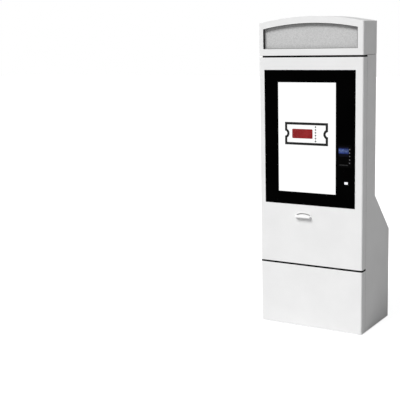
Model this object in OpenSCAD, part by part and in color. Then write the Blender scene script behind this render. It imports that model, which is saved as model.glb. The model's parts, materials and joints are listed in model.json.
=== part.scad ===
// Free-standing ticket vending machine: a powder-coated sheet steel cabinet with an arched,
// lit header, a hinged front door that carries the touch screen, card reader, scanner and
// ticket printer, a hinged lower door and a hinged rear service door.
// X is across the front, Y runs from the front to the back, Z is up. The origin is the
// centre of the floor anchor pattern, on the underside of the base plate.

/* [Cabinet] */
// Overall width
cabinet_w = 712; // [600:1:850]
// Overall height, at the crown of the arch
cabinet_h = 2002; // [1660:1:2400]
// Depth of the lower cabinet and the base
lower_d = 466; // [390:1:560]
// Depth of the upper cabinet
upper_d = 208; // [190:1:250]
// Depth of the front section, from its face to the door seam
door_d = 61; // [50:1:74]
// Height where the sloping back starts, below the upper back
slope_top_z = 873; // [760:1:1000]
// Height where the sloping back ends, above the rear door
slope_low_z = 609; // [540:1:700]
// Radius of the upright front corners
corner_r = 10; // [6:1:16]
// Thickness of the sheet steel
sheet = 2; // [1.5:0.1:3]
// Height of the open reveals under the header and between the doors
reveal = 12; // [8:1:16]
// Height of the middle of the reveal between the two front doors
reveal_z = 418; // [380:1:470]
// Thickness of the base plate that stands on the floor
base_t = 6; // [5:1:10]
// Clearance between a door and what it closes on
seam = 2; // [1.5:0.1:4]

/* [Header] */
// Height of the header at its corners
header_h = 202; // [170:1:240]
// Rise of the arch over the corners
arch_rise = 38; // [25:1:55]
// Height of the window's sill over the header's underside
sign_sill = 42; // [30:1:60]
// Width of the header's face over the window
sign_head = 42; // [30:1:60]
// Face left of the window
sign_left = 32; // [24:1:50]
// Face right of the window
sign_right = 40; // [24:1:50]
// Depth of the window's black frame
sign_frame_d = 18; // [10:1:30]
// Thickness of the diffuser
diffuser_t = 3; // [2:0.5:6]

/* [Screen] */
// Face left of the black glass
glass_left = 38; // [28:1:60]
// Face right of the black glass
glass_right = 51; // [28:1:60]
// Face over the black glass
glass_head = 78; // [60:1:100]
// Face under the black glass, down to the door's lower edge
glass_foot = 391; // [330:1:420]
// Thickness of the glass
glass_t = 4; // [3:0.5:6]
// Black border left of the display
border_left = 96; // [60:1:110]
// Black border right of the display, which holds the card reader
border_right = 129; // [118:1:150]
// Black border over the display
border_top = 77; // [50:1:90]
// Black border under the display
border_low = 81; // [50:1:90]
// Depth of the display module
display_d = 22; // [15:1:30]

/* [Card reader and scanner] */
// Width of the card reader's face
reader_w = 96; // [90:1:105]
// Height of the card reader's face
reader_h = 142; // [135:1:160]
// Height of the card reader's underside over the glass's lower edge
reader_up = 257; // [210:1:300]
// Depth of the card reader behind its face
reader_d = 46; // [35:1:50]
// Radius of a function key
key_r = 4.2; // [3.5:0.1:5]
// Distance between two function keys
key_pitch = 21.5; // [16:0.5:24]
// Travel of a function key
key_travel = 1.2; // [0.8:0.1:1.6]
// Width of the scanner's window
scan_w = 23; // [18:1:36]
// Height of the scanner's window
scan_h = 15; // [12:1:28]

/* [Ticket printer] */
// Middle of the ticket chute, from the cabinet's middle
chute_x = -46; // [-90:1:0]
// Height of the ticket slot's middle over the door's lower edge
chute_up = 332; // [300:1:340]
// Width of the ticket slot
slot_w = 92; // [86:1:94]
// Height of the ticket slot
slot_h = 5.5; // [5:0.5:7]
// Rise of the slot's arch over its ends
slot_rise = 8; // [4:0.5:10]
// Width of the chute's lip
lip_w = 106; // [100:1:120]
// How far the lip stands out of the door
lip_out = 26; // [18:1:40]
// How far the hood over the slot stands out of the door
hood_out = 2; // [1.5:0.5:5]
// Radius of a full paper roll
roll_r = 50; // [40:1:60]
// Radius of the platen roller
platen_r = 8; // [7:0.5:10]
// Tooth size of the feed gears, as a module
gear_module = 1.2; // [1:0.1:1.4]

/* [Hinges and locks] */
// Outer radius of a hinge knuckle
knuckle_r = 4.5; // [4:0.1:6]
// Radius of a hinge pin
pin_r = 2.5; // [2:0.1:3]
// Length of a hinge
hinge_h = 84; // [60:1:100]
// Radius of the front latch's upright shaft
latch_r = 6; // [5:0.5:8]

/* [Base and services] */
// Distance across between the floor anchors
anchor_x = 500; // [400:1:520]
// Distance front to back between the floor anchors
anchor_y = 280; // [220:1:300]
// Radius of an anchor hole
anchor_r = 7; // [5:0.5:9]
// Radius of the cable entry
cable_r = 25; // [18:1:35]
// Height of the equipment shelf
shelf_z = 190; // [150:1:240]
// Side of the square cooling fan
fan_size = 120; // [92:1:140]

/* [Hidden] */
$fn = 48;
cut = 1;             // how far a cutting shape runs past what it cuts
air = 0.4;           // gap beside a seal or between parts that only nearly touch
running = 0.05;      // radial clearance of a turning shaft

powder = [0.93, 0.93, 0.93];
black = [0.04, 0.04, 0.045];
zinc = [0.72, 0.73, 0.75];
rubber = [0.07, 0.07, 0.07];

half_w = cabinet_w / 2;
front_y = -lower_d / 2;
back_y = lower_d / 2;
seam_y = front_y + door_d;
upper_back_y = front_y + upper_d;
door_back_y = seam_y - seam;

header_z = cabinet_h - arch_rise - header_h;
body_top_z = header_z - seam;
door_z = reveal_z + reveal / 2;
door_top_z = header_z - reveal;
lower_door_top_z = reveal_z - reveal / 2;
corner_z = cabinet_h - arch_rise;
arch_r = (half_w * half_w + arch_rise * arch_rise) / (2 * arch_rise);

lip_depth = 25;      // width of a door's return lip
flange = 20;         // width of a side panel's front flange
frame_w = 30;        // width of the front frame's bars
frame_t = 3;
frame_y = seam_y + sheet;
frame_back_y = frame_y + frame_t;

glass_x0 = -half_w + glass_left;
glass_x1 = half_w - glass_right;
glass_z0 = door_z + glass_foot;
glass_z1 = door_top_z - glass_head;
glass_proud = 1;
glass_y = front_y - glass_proud;
glass_back_y = glass_y + glass_t;
view_x0 = glass_x0 + border_left;
view_x1 = glass_x1 - border_right;
view_z0 = glass_z0 + border_low;
view_z1 = glass_z1 - border_top;

reader_x = glass_x1 - 67;
reader_z0 = glass_z0 + reader_up;
reader_proud = 2;
reader_y = glass_y - reader_proud;
key_x = reader_x + reader_w / 2 - 16;
key_top_z = reader_z0 + reader_h - 28;
key_proud = 0.8;
key_length = 6;
scan_x = reader_x + 8;
scan_z = glass_z0 + 158;

slot_z = door_z + chute_up;
hinge_x = -half_w - knuckle_r;
hinge_y = seam_y - seam / 2;

// A block from its two corners
module block(x, y, z) {
    translate([x[0], y[0], z[0]])
        cube([x[1] - x[0], y[1] - y[0], z[1] - z[0]]);
}

// A cylinder along X, Y or Z from its middle of one end
module bar_x(r, x0, x1, y, z) {
    translate([x0, y, z]) rotate([0, 90, 0]) cylinder(r = r, h = x1 - x0);
}

module bar_y(r, x, y0, y1, z) {
    translate([x, y0, z]) rotate([-90, 0, 0]) cylinder(r = r, h = y1 - y0);
}

module bar_z(r, x, y, z0, z1) {
    translate([x, y, z0]) cylinder(r = r, h = z1 - z0);
}

// The cabinet's outline in plan, with rounded front corners, drawn inset by the given amount
module front_plan(inset, y1) {
    r = corner_r - inset;
    x0 = -half_w + inset;
    y0 = front_y + inset;
    translate([x0 + r, y0]) square([cabinet_w - 2 * corner_r, y1 - y0]);
    translate([x0, y0 + r]) square([cabinet_w - 2 * inset, y1 - y0 - r]);
    for (side = [-1, 1])
        translate([side * (half_w - corner_r), y0 + r]) circle(r = r);
}

// ---- Base and cabinet ----

module anchor_holes() {
    for (x = [-1, 1], y = [-1, 1])
        bar_z(anchor_r, x * anchor_x / 2, y * anchor_y / 2, -cut, base_t + sheet + 2 * cut);
}

base_inset = 12;
tray_wall = 40;
grommet_lip = 4;

module base_plate() {
    color(zinc) difference() {
        block([-half_w + base_inset, half_w - base_inset],
              [frame_y, back_y - base_inset], [0, base_t]);
        anchor_holes();
        bar_z(cable_r + grommet_lip, 0, 0, -cut, base_t + cut);
    }
}

module base_tray() {
    x = half_w - sheet;
    y0 = frame_back_y;
    y1 = back_y - sheet;
    floor_z = base_t + sheet;
    color(zinc) {
        difference() {
            block([-x, x], [y0, y1], [base_t, floor_z]);
            anchor_holes();
            bar_z(cable_r + grommet_lip, 0, 0, base_t - cut, floor_z + cut);
        }
        difference() {
            block([-x, x], [y0, y1], [floor_z + running, base_t + tray_wall]);
            block([-x + sheet, x - sheet], [y0 + sheet, y1 - sheet],
                  [floor_z, base_t + tray_wall + cut]);
        }
    }
}

module cable_grommet() {
    top = base_t + sheet;
    color(rubber) difference() {
        union() {
            bar_z(cable_r + grommet_lip, 0, 0, 0, top);
            bar_z(cable_r + 2 * grommet_lip, 0, 0, top, top + grommet_lip);
        }
        bar_z(cable_r, 0, 0, -cut, top + grommet_lip + cut);
    }
}

// One side of the cabinet: a plate with the sloping back's outline and a flange at the front
module side_panel(side) {
    outline = [[seam_y, base_t], [back_y, base_t], [back_y, slope_low_z],
               [upper_back_y, slope_top_z], [upper_back_y, body_top_z], [seam_y, body_top_z]];
    color(powder) mirror([side < 0 ? 1 : 0, 0, 0]) {
        translate([half_w - sheet, 0, 0]) rotate([90, 0, 90])
            linear_extrude(sheet) polygon(outline);
        block([half_w - flange, half_w - sheet], [seam_y, seam_y + sheet],
              [base_t, body_top_z]);
    }
}

module front_frame() {
    x = half_w - sheet;
    inner = half_w - frame_w;
    color(black) difference() {
        block([-x, x], [frame_y, frame_back_y], [base_t, body_top_z]);
        block([-inner, inner], [frame_y - cut, frame_back_y + cut],
              [base_t + tray_wall, lower_door_top_z - frame_w / 2]);
        block([-inner, inner], [frame_y - cut, frame_back_y + cut],
              [door_z + frame_w / 2, door_top_z - frame_w / 2]);
    }
}

// A seal round one opening of the front frame, just clear of the door's return lip
module seal_ring(z0, z1) {
    seal_w = 9;
    x = half_w - flange - air;
    y = [door_back_y + air, frame_y];
    difference() {
        block([-x, x], y, [z0, z1]);
        block([-x + seal_w, x - seal_w], [y[0] - cut, y[1] + cut], [z0 + seal_w, z1 - seal_w]);
    }
}

module door_gaskets() {
    color(rubber) {
        seal_ring(base_t + lip_depth, lower_door_top_z - sheet);
        seal_ring(door_z + sheet, door_top_z - sheet);
    }
}

fan_x = 0;
fan_z = body_top_z - 60 - fan_size / 2;
fan_d = 25;
fan_y = upper_back_y - sheet - fan_d;
fan_bore = fan_size / 2 - 4;
vent_pitch = 14;
vent_h = 5;

// A column of slots, centred on x and z, through whatever lies between the two y values
module vent_slots(x, z, width, count, y) {
    for (i = [0 : count - 1])
        block([x - width / 2, x + width / 2], y,
              [z + (i - (count - 1) / 2) * vent_pitch - vent_h / 2,
               z + (i - (count - 1) / 2) * vent_pitch + vent_h / 2]);
}

vent_w = cabinet_w / 4;
vent_x = cabinet_w / 5;
back_vent_z = slope_top_z + 120;
back_vent_count = 9;

module upper_back_panel() {
    x = half_w - sheet;
    y = [upper_back_y - sheet, upper_back_y];
    color(powder) difference() {
        block([-x, x], y, [slope_top_z, body_top_z - sheet]);
        for (side = [-1, 1])
            vent_slots(side * vent_x, back_vent_z, vent_w, back_vent_count,
                       [y[0] - cut, y[1] + cut]);
        bar_y(fan_bore, fan_x, y[0] - cut, y[1] + cut, fan_z);
    }
}

module slope_panel() {
    x = half_w - sheet;
    color(powder) translate([-x, 0, 0]) rotate([90, 0, 90]) linear_extrude(2 * x)
        polygon([[upper_back_y, slope_top_z], [back_y, slope_low_z],
                 [back_y - sheet, slope_low_z], [upper_back_y - sheet, slope_top_z]]);
}

rear_door_w = cabinet_w - 64;
rear_z0 = base_t + tray_wall + 12;
rear_z1 = slope_low_z - 20;
rear_gap = 3;

// The frame of the rear opening, with a return that stiffens it and holds the lock's tongue
module rear_frame() {
    x = half_w - sheet;
    inner = rear_door_w / 2 + rear_gap;
    opening = [rear_z0 - rear_gap, rear_z1 + rear_gap];
    color(powder) difference() {
        union() {
            block([-x, x], [back_y - sheet, back_y], [base_t, slope_low_z]);
            block([-inner - sheet, inner + sheet], [back_y - rear_door_d, back_y],
                  [opening[0] - sheet, opening[1] + sheet]);
        }
        block([-inner, inner], [back_y - rear_door_d - cut, back_y + cut], opening);
    }
}

module top_deck() {
    x = half_w - sheet;
    color(powder)
        block([-x, x], [frame_back_y, upper_back_y], [body_top_z - sheet, body_top_z]);
}

// ---- Header ----

// Everything under an arch that runs parallel to the header's top, the given drop below it
module under_arch(drop, y0, y1) {
    translate([0, y0, cabinet_h - arch_r]) rotate([-90, 0, 0])
        cylinder(r = arch_r - drop, h = y1 - y0, $fn = 360);
}

header_back_y = upper_back_y;
seal_inset = 4;
sign_x0 = -half_w + sign_left;
sign_x1 = half_w - sign_right;
sign_z0 = header_z + sign_sill;
sign_border = 10;

module header_gasket() {
    x = half_w - seal_inset;
    y = [frame_back_y, upper_back_y - seal_inset];
    w = 15;
    color(rubber) difference() {
        block([-x, x], y, [body_top_z, header_z]);
        block([-x + w, x - w], [y[0] + w, y[1] - w], [body_top_z - cut, header_z + cut]);
    }
}

// The sign window's outline, grown by the given amount, between two y values
module sign_window(grow, y0, y1) {
    intersection() {
        block([sign_x0 - grow, sign_x1 + grow], [y0, y1], [sign_z0 - grow, cabinet_h]);
        under_arch(sign_head - grow, y0, y1);
    }
}

module header_shell() {
    color(powder) {
        difference() {
            intersection() {
                translate([0, 0, header_z]) linear_extrude(header_h + arch_rise)
                    front_plan(0, header_back_y);
                under_arch(0, front_y, header_back_y);
            }
            intersection() {
                translate([0, 0, header_z + sheet]) linear_extrude(header_h + arch_rise)
                    front_plan(sheet, header_back_y + cut);
                under_arch(sheet, front_y, header_back_y + cut);
            }
            sign_window(0, front_y - cut, front_y + sheet + cut);
        }
    }
}

module sign_frame() {
    y = front_y + sheet;
    color(black) difference() {
        sign_window(sign_border, y, y + sign_frame_d);
        sign_window(0, y - cut, y + sign_frame_d + cut);
    }
}

module sign_diffuser() {
    y = front_y + sheet + sign_frame_d;
    color([0.8, 0.8, 0.8, 0.9])
        sign_window(sign_border - 2, y, y + diffuser_t);
}

light_bar_t = 5;

module header_light_bars() {
    x = half_w - 70;
    color([0.9, 0.9, 0.85])
        for (z = [sign_z0 + 20, sign_z0 + 80])
            block([-x, x], [header_back_y - light_bar_t, header_back_y], [z, z + 12]);
}

module header_led_driver() {
    color(zinc)
        block([-90, 90], [header_back_y - 90, header_back_y - 40],
              [header_z + sheet, header_z + sheet + 30]);
}

module header_back_cover() {
    color(powder) intersection() {
        block([-half_w, half_w], [header_back_y, header_back_y + sheet],
              [header_z, cabinet_h]);
        under_arch(0, header_back_y, header_back_y + sheet);
    }
}

// A low domed screw head with a hexagon socket, standing on a face that looks along +Y
module screw_head(x, y, z) {
    head_r = 5;
    head_t = 2.4;
    difference() {
        bar_y(head_r, x, y, y + head_t, z);
        translate([x, y + head_t / 2, z]) rotate([-90, 0, 0])
            cylinder(r = 2.3, h = head_t, $fn = 6);
    }
}

screw_edge = 14;

module panel_screws() {
    x = half_w - screw_edge;
    color(zinc) {
        for (side = [-1, 0, 1], z = [header_z + screw_edge, corner_z - screw_edge])
            screw_head(side * x, header_back_y + sheet, z);
        for (side = [-1, 1], i = [0 : 3])
            screw_head(side * x, upper_back_y,
                       slope_top_z + 30 + i * (body_top_z - slope_top_z - 60) / 3);
    }
}

// ---- Equipment ----

shelf_y0 = seam_y + 70;
shelf_y1 = back_y - 70;

module equipment_shelf() {
    x = half_w - sheet;
    lip = 20;
    color(zinc) {
        block([-x, x], [shelf_y0, shelf_y1], [shelf_z, shelf_z + sheet]);
        for (y = [shelf_y0, shelf_y1 - sheet])
            block([-x, x], [y, y + sheet], [shelf_z - lip, shelf_z]);
    }
}

computer_w = 280;
computer_h = 70;

module computer() {
    y0 = shelf_y0 + 20;
    y1 = shelf_y1 - 20;
    z0 = shelf_z + sheet;
    fin = 6;
    color([0.16, 0.17, 0.18]) difference() {
        block([-computer_w / 2, computer_w / 2], [y0, y1], [z0, z0 + computer_h]);
        for (i = [0 : 17])
            block([-computer_w / 2 + 14 + i * 14.6, -computer_w / 2 + 14 + i * 14.6 + fin],
                  [y0 - cut, y1 + cut], [z0 + computer_h - 12, z0 + computer_h + cut]);
    }
}

module power_supply() {
    z0 = base_t + sheet;
    color([0.62, 0.63, 0.65]) difference() {
        block([-220, -60], [-60, 60], [z0, z0 + 60]);
        for (i = [0 : 7])
            block([-210 + i * 18, -204 + i * 18], [-50, 50], [z0 + 58, z0 + 60 + cut]);
    }
}

breaker_z = shelf_z + 110;
breaker_y = 40;
breaker_face_x = -half_w + sheet + 60;
toggle_z = breaker_z + 60;
toggle_r = 7;
toggle_w = 14;

module breaker_box() {
    color([0.86, 0.86, 0.84]) difference() {
        block([-half_w + sheet, breaker_face_x], [breaker_y - 40, breaker_y + 40],
              [breaker_z, breaker_z + 120]);
        bar_y(toggle_r + air, breaker_face_x, breaker_y - toggle_w / 2 - air,
              breaker_y + toggle_w / 2 + air, toggle_z);
    }
}

module breaker_toggle() {
    lever = 13;
    color([0.1, 0.1, 0.11]) {
        bar_y(toggle_r, breaker_face_x, breaker_y - toggle_w / 2, breaker_y + toggle_w / 2,
              toggle_z);
        translate([breaker_face_x, breaker_y - toggle_w / 2, toggle_z])
            rotate([0, -35, 0]) translate([0, 0, -3.5])
            cube([toggle_r + lever, toggle_w, 7]);
    }
}

hub_r = fan_size * 0.16;
fan_stem_r = 4;

module fan_frame() {
    color([0.12, 0.12, 0.13]) difference() {
        union() {
            difference() {
                block([fan_x - fan_size / 2, fan_x + fan_size / 2], [fan_y, fan_y + fan_d],
                      [fan_z - fan_size / 2, fan_z + fan_size / 2]);
                bar_y(fan_bore, fan_x, fan_y - cut, fan_y + fan_d + cut, fan_z);
            }
            for (turn = [45, 135])
                translate([fan_x, fan_y, fan_z]) rotate([0, turn, 0])
                    translate([-fan_bore - 2, 0, -3]) cube([2 * fan_bore + 4, 3, 6]);
            bar_y(hub_r, fan_x, fan_y, fan_y + 3, fan_z);
            bar_y(fan_stem_r, fan_x, fan_y + 3, fan_y + 18, fan_z);
        }
        for (x = [-1, 1], z = [-1, 1])
            bar_y(2.2, fan_x + x * (fan_size / 2 - 7.5), fan_y - cut, fan_y + fan_d + cut,
                  fan_z + z * (fan_size / 2 - 7.5));
    }
}

module fan_rotor() {
    y0 = fan_y + 4;
    y1 = fan_y + fan_d - 3;
    blade_len = fan_bore - 3;
    color([0.2, 0.2, 0.21]) difference() {
        union() {
            bar_y(hub_r, fan_x, y0, y1, fan_z);
            for (i = [0 : 6])
                translate([fan_x, (y0 + y1) / 2, fan_z]) rotate([0, i * 360 / 7, 0])
                    rotate([32, 0, 0])
                    translate([hub_r - 4, -1, -9]) cube([blade_len - hub_r + 4, 2, 18]);
        }
        bar_y(fan_stem_r + running, fan_x, y0 - cut, fan_y + 18 + running, fan_z);
    }
}

module fan_guard() {
    wire = 1.4;
    y = upper_back_y;
    color(zinc) {
        for (i = [1 : 4])
            difference() {
                bar_y(fan_bore * i / 4 + 2 * wire, fan_x, y, y + 2 * wire, fan_z);
                bar_y(fan_bore * i / 4, fan_x, y - cut, y + 2 * wire + cut, fan_z);
            }
        for (turn = [45, 135])
            translate([fan_x, y, fan_z]) rotate([0, turn, 0])
                translate([-fan_size * 0.66, wire, -wire])
                cube([fan_size * 1.32, 2 * wire, 2 * wire]);
    }
}

// ---- Hinges ----

// Middles of the hinges of a door between two heights
function hinge_heights(z0, z1, count) =
    [for (i = [0 : count - 1]) z0 + 60 + hinge_h / 2
        + i * (z1 - z0 - 120 - hinge_h) / (count - 1)];

front_hinges = hinge_heights(door_z, door_top_z, 3);
lower_hinges = hinge_heights(base_t, lower_door_top_z, 2);
rear_hinges = hinge_heights(rear_z0, rear_z1, 2);
rear_hinge_x = -rear_door_w / 2 - rear_gap / 2;
rear_hinge_y = back_y + knuckle_r;
leaf_w = 21;
leaf_t = 2;
knuckle_gap = 0.5;

// One leaf of a hinge whose pin is at the origin and whose plate runs along +X under the
// pin, at -Y. The middle knuckle belongs to the moving leaf, the outer two to the fixed one.
module hinge_leaf(z, moving) {
    third = hinge_h / 3;
    bore = moving ? pin_r + running : pin_r;
    spans = moving ? [[-third / 2 + knuckle_gap, third / 2 - knuckle_gap]]
                   : [[-hinge_h / 2, -third / 2], [third / 2, hinge_h / 2]];
    translate([0, 0, z]) difference() {
        union() {
            block([knuckle_r + air, knuckle_r + air + leaf_w], [-knuckle_r, -knuckle_r + leaf_t],
                  [-hinge_h / 2, hinge_h / 2]);
            for (s = spans) {
                bar_z(knuckle_r, 0, 0, s[0], s[1]);
                block([0, knuckle_r + air + 1], [-knuckle_r, -knuckle_r + leaf_t], s);
            }
        }
        bar_z(bore, 0, 0, -hinge_h, hinge_h);
    }
}

// The front hinges' fixed leaves lie on the left side panel, the moving ones on the doors
module front_leaf(z, moving) {
    translate([hinge_x, hinge_y, 0]) rotate([0, 0, 90])
        mirror([moving ? 1 : 0, 0, 0]) hinge_leaf(z, moving);
}

// The rear hinges' fixed leaves lie on the rear frame, the moving ones on the rear door
module rear_leaf(z, moving) {
    translate([rear_hinge_x, rear_hinge_y, 0])
        mirror([moving ? 0 : 1, 0, 0]) hinge_leaf(z, moving);
}

module cabinet_hinge_leaves() {
    color(zinc) {
        for (z = concat(front_hinges, lower_hinges)) front_leaf(z, false);
        for (z = rear_hinges) rear_leaf(z, false);
    }
}

module hinge_pins() {
    color(zinc) {
        for (z = concat(front_hinges, lower_hinges))
            bar_z(pin_r, hinge_x, hinge_y, z - hinge_h / 2, z + hinge_h / 2);
        for (z = rear_hinges)
            bar_z(pin_r, rear_hinge_x, rear_hinge_y, z - hinge_h / 2, z + hinge_h / 2);
    }
}

module front_door_hinge_leaves() {
    color(zinc) for (z = front_hinges) front_leaf(z, true);
}

module lower_door_hinge_leaves() {
    color(zinc) for (z = lower_hinges) front_leaf(z, true);
}

module rear_door_hinge_leaves() {
    color(zinc) for (z = rear_hinges) rear_leaf(z, true);
}

// ---- Front latch ----

latch_x = half_w - 58;
latch_y = seam_y + 21;
claw_len = 30;
claw_t = 5;
striker_x = half_w - 36;
striker_t = 3;
striker_h = 60;
striker_heights = [lower_door_top_z - 120, door_z + 180, door_top_z - 260];
latch_z0 = shelf_z + 40;
latch_z1 = striker_heights[2] + 80;
bracket_heights = [striker_heights[0] + 50, striker_heights[1] + 60, striker_heights[2] + 60];
lever_z = striker_heights[0] + 78;

module latch_brackets() {
    arm = 9;
    color(zinc) for (z = bracket_heights) difference() {
        union() {
            bar_z(latch_r + 5, latch_x, latch_y, z, z + 6);
            block([latch_x, half_w - sheet], [latch_y - arm, latch_y + arm], [z, z + 6]);
        }
        bar_z(latch_r + running, latch_x, latch_y, z - cut, z + 6 + cut);
    }
}

module latch_shaft() {
    lever_len = 85;
    color(zinc) {
        bar_z(latch_r, latch_x, latch_y, latch_z0, latch_z1);
        for (z = striker_heights)
            block([latch_x - claw_t / 2, latch_x + claw_t / 2],
                  [latch_y - claw_len, latch_y - latch_r - running], [z - 12, z + 12]);
        bar_z(latch_r + 4, latch_x, latch_y, lever_z, lever_z + 12);
        block([latch_x - 5, latch_x + 5], [latch_y, latch_y + lever_len],
              [lever_z, lever_z + 12]);
    }
}

module striker(z) {
    difference() {
        union() {
            block([striker_x, striker_x + striker_t],
                  [front_y + sheet, latch_y + 18], [z - striker_h / 2, z + striker_h / 2]);
            block([striker_x, striker_x + striker_t + 20],
                  [front_y + sheet, front_y + sheet + striker_t],
                  [z - striker_h / 2, z + striker_h / 2]);
        }
        block([striker_x - cut, striker_x + striker_t + cut],
              [latch_y - 25, latch_y + claw_t / 2 + air], [z - 18, z + 18]);
    }
}

module door_strikers() {
    color(zinc) for (i = [1, 2]) striker(striker_heights[i]);
}

// ---- Doors ----

// A front door: a pan with rounded upright corners and a lip turned in at the back
module door_pan(z0, z1) {
    x = half_w - lip_depth;
    difference() {
        translate([0, 0, z0]) linear_extrude(z1 - z0) front_plan(0, door_back_y);
        translate([0, 0, z0 + sheet]) linear_extrude(z1 - z0 - 2 * sheet)
            front_plan(sheet, door_back_y - sheet);
        block([-x, x], [door_back_y - sheet - cut, door_back_y + cut],
              [z0 + lip_depth, z1 - lip_depth]);
    }
}

chute_hole_w = lip_w - 8;
chute_hole_h = 22;

module front_door_skin() {
    color(powder) difference() {
        door_pan(door_z, door_top_z);
        block([glass_x0 - air, glass_x1 + air], [front_y - cut, front_y + sheet + cut],
              [glass_z0 - air, glass_z1 + air]);
        block([chute_x - chute_hole_w / 2 - air, chute_x + chute_hole_w / 2 + air],
              [front_y - cut, front_y + sheet + cut],
              [slot_z - chute_hole_h / 2 - air, slot_z + chute_hole_h / 2 + air]);
    }
}

module lower_door_skin() {
    z = striker_heights[0];
    color(powder) union() {
        door_pan(base_t, lower_door_top_z);
        translate([0, running, 0]) striker(z);
    }
}

rear_door_d = 20;
handle_x = rear_door_w / 2 - 42;
handle_z = (rear_z0 + rear_z1) / 2;
handle_shaft_r = 7;

module rear_door_skin() {
    w = rear_door_w / 2;
    y = [back_y - rear_door_d, back_y];
    lip = 15;
    color(powder) difference() {
        block([-w, w], y, [rear_z0, rear_z1]);
        block([-w + sheet, w - sheet], [y[0] + sheet, y[1] - sheet],
              [rear_z0 + sheet, rear_z1 - sheet]);
        block([-w + lip, w - lip], [y[0] - cut, y[0] + sheet + cut],
              [rear_z0 + lip, rear_z1 - lip]);
        for (side = [-1, 1])
            vent_slots(side * vent_x * 0.9, rear_z1 - 110, vent_w * 0.9, 8,
                       [y[1] - sheet - cut, y[1] + cut]);
        bar_y(handle_shaft_r + running, handle_x, y[1] - sheet - cut, y[1] + cut, handle_z);
    }
}

// The rear door's turning handle: a grip outside, a shaft through the door, a tongue inside
module rear_handle() {
    rose_r = 18;
    grip = 95;
    tongue_y = back_y - rear_door_d - 5;
    color(zinc) {
        bar_y(rose_r, handle_x, back_y, back_y + 7, handle_z);
        bar_y(handle_shaft_r, handle_x, tongue_y, back_y + 7, handle_z);
        block([handle_x - 9, handle_x + 9], [back_y + 7, back_y + 22],
              [handle_z - grip, handle_z + rose_r]);
        block([handle_x - 9, handle_x + 9], [tongue_y, tongue_y + 4],
              [handle_z - 9, handle_z + 58]);
    }
}

// ---- Screen ----

reader_gap = 0.5;

module screen_bezel() {
    y = [glass_y, glass_back_y];
    color(black) difference() {
        block([glass_x0, glass_x1], y, [glass_z0, glass_z1]);
        block([view_x0, view_x1], [y[0] - cut, y[1] + cut], [view_z0, view_z1]);
        block([reader_x - reader_w / 2 + 4, reader_x + reader_w / 2 - 4], [y[0] - cut, y[1] + cut],
              [reader_z0 + 4, reader_z0 + reader_h - 4]);
        block([scan_x - scan_w / 2, scan_x + scan_w / 2], [y[0] - cut, y[1] + cut],
              [scan_z - scan_h / 2, scan_z + scan_h / 2]);
    }
}

seat_w = 12;
seat_t = 8;

// Rails behind the glass that carry it in the door: they lap its edge and the steel round it
module glass_seat() {
    x = [glass_x0 - seat_w, glass_x1 + seat_w];
    z = [glass_z0 - seat_w, glass_z1 + seat_w];
    y = [front_y + sheet, glass_back_y + seat_t];
    color(zinc) difference() {
        block(x, y, z);
        block([x[0] + 2 * seat_w, x[1] - 2 * seat_w], [y[0] - cut, y[1] + cut],
              [z[0] + 2 * seat_w, z[1] - 2 * seat_w]);
        block([glass_x0 - air, glass_x1 + air], [y[0] - cut, glass_back_y],
              [glass_z0 - air, glass_z1 + air]);
    }
}

module touch_glass() {
    color([0.85, 0.88, 0.9, 0.35])
        block([view_x0, view_x1], [glass_y, glass_back_y], [view_z0, view_z1]);
}

module_border = 16;
module_back_y = glass_back_y + 1 + display_d;

module display_module() {
    color([0.95, 0.95, 0.95])
        block([view_x0 - module_border, view_x1 + module_border], [glass_back_y, module_back_y],
              [view_z0 - module_border, view_z1 + module_border]);
}

// Two upright channels that hold the module, with feet that reach the door's inner face
module display_brackets() {
    depth = 12;
    w = 34;
    foot_z = 24;
    z0 = view_z0 - module_border;
    z1 = view_z1 + module_border;
    span = view_x1 - view_x0;
    color(zinc) for (x = [view_x0 + span * 0.22, view_x1 - span * 0.22]) {
        difference() {
            block([x - w / 2, x + w / 2], [module_back_y, module_back_y + depth],
                  [z0 - foot_z, z1 + foot_z]);
            block([x - w / 2 + sheet, x + w / 2 - sheet],
                  [module_back_y - cut, module_back_y + depth - sheet],
                  [z0 - foot_z - cut, z1 + foot_z + cut]);
        }
        for (z = [[z0 - foot_z, z0 - foot_z + sheet], [z1 + foot_z - sheet, z1 + foot_z]])
            block([x - w / 2, x + w / 2], [glass_back_y, module_back_y], z);
    }
}

// ---- Card reader and scanner ----

lcd_x = [reader_x - reader_w / 2 + 7, key_x - key_r - 3];
lcd_z = [reader_z0 + reader_h - 74, reader_z0 + reader_h - 12];
lcd_recess = 1.2;
card_w = 58;
card_z = reader_z0 + 15;

function key_z(i) = key_top_z - i * key_pitch;

module reader_housing() {
    x = [reader_x - reader_w / 2, reader_x + reader_w / 2];
    color(black) difference() {
        union() {
            block(x, [reader_y, glass_y], [reader_z0, reader_z0 + reader_h]);
            block([x[0] + 4 + reader_gap, x[1] - 4 - reader_gap], [glass_y, glass_y + reader_d],
                  [reader_z0 + 4 + reader_gap, reader_z0 + reader_h - 4 - reader_gap]);
        }
        block(lcd_x, [reader_y - cut, reader_y + lcd_recess], lcd_z);
        for (i = [0 : 4])
            bar_y(key_r + air, key_x, reader_y - cut, reader_y + key_length + key_travel, key_z(i));
        block([reader_x - card_w / 2 - 6, reader_x + card_w / 2 - 6], [reader_y - cut, reader_y + 30],
              [card_z - 1.4, card_z + 1.4]);
    }
}

module reader_display() {
    color([0.05, 0.08, 0.35])
        block(lcd_x, [reader_y + lcd_recess - 0.8, reader_y + lcd_recess], lcd_z);
}

module reader_key(i) {
    color([0.75, 0.75, 0.78])
        bar_y(key_r, key_x, reader_y - key_proud, reader_y - key_proud + key_length, key_z(i));
}

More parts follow.
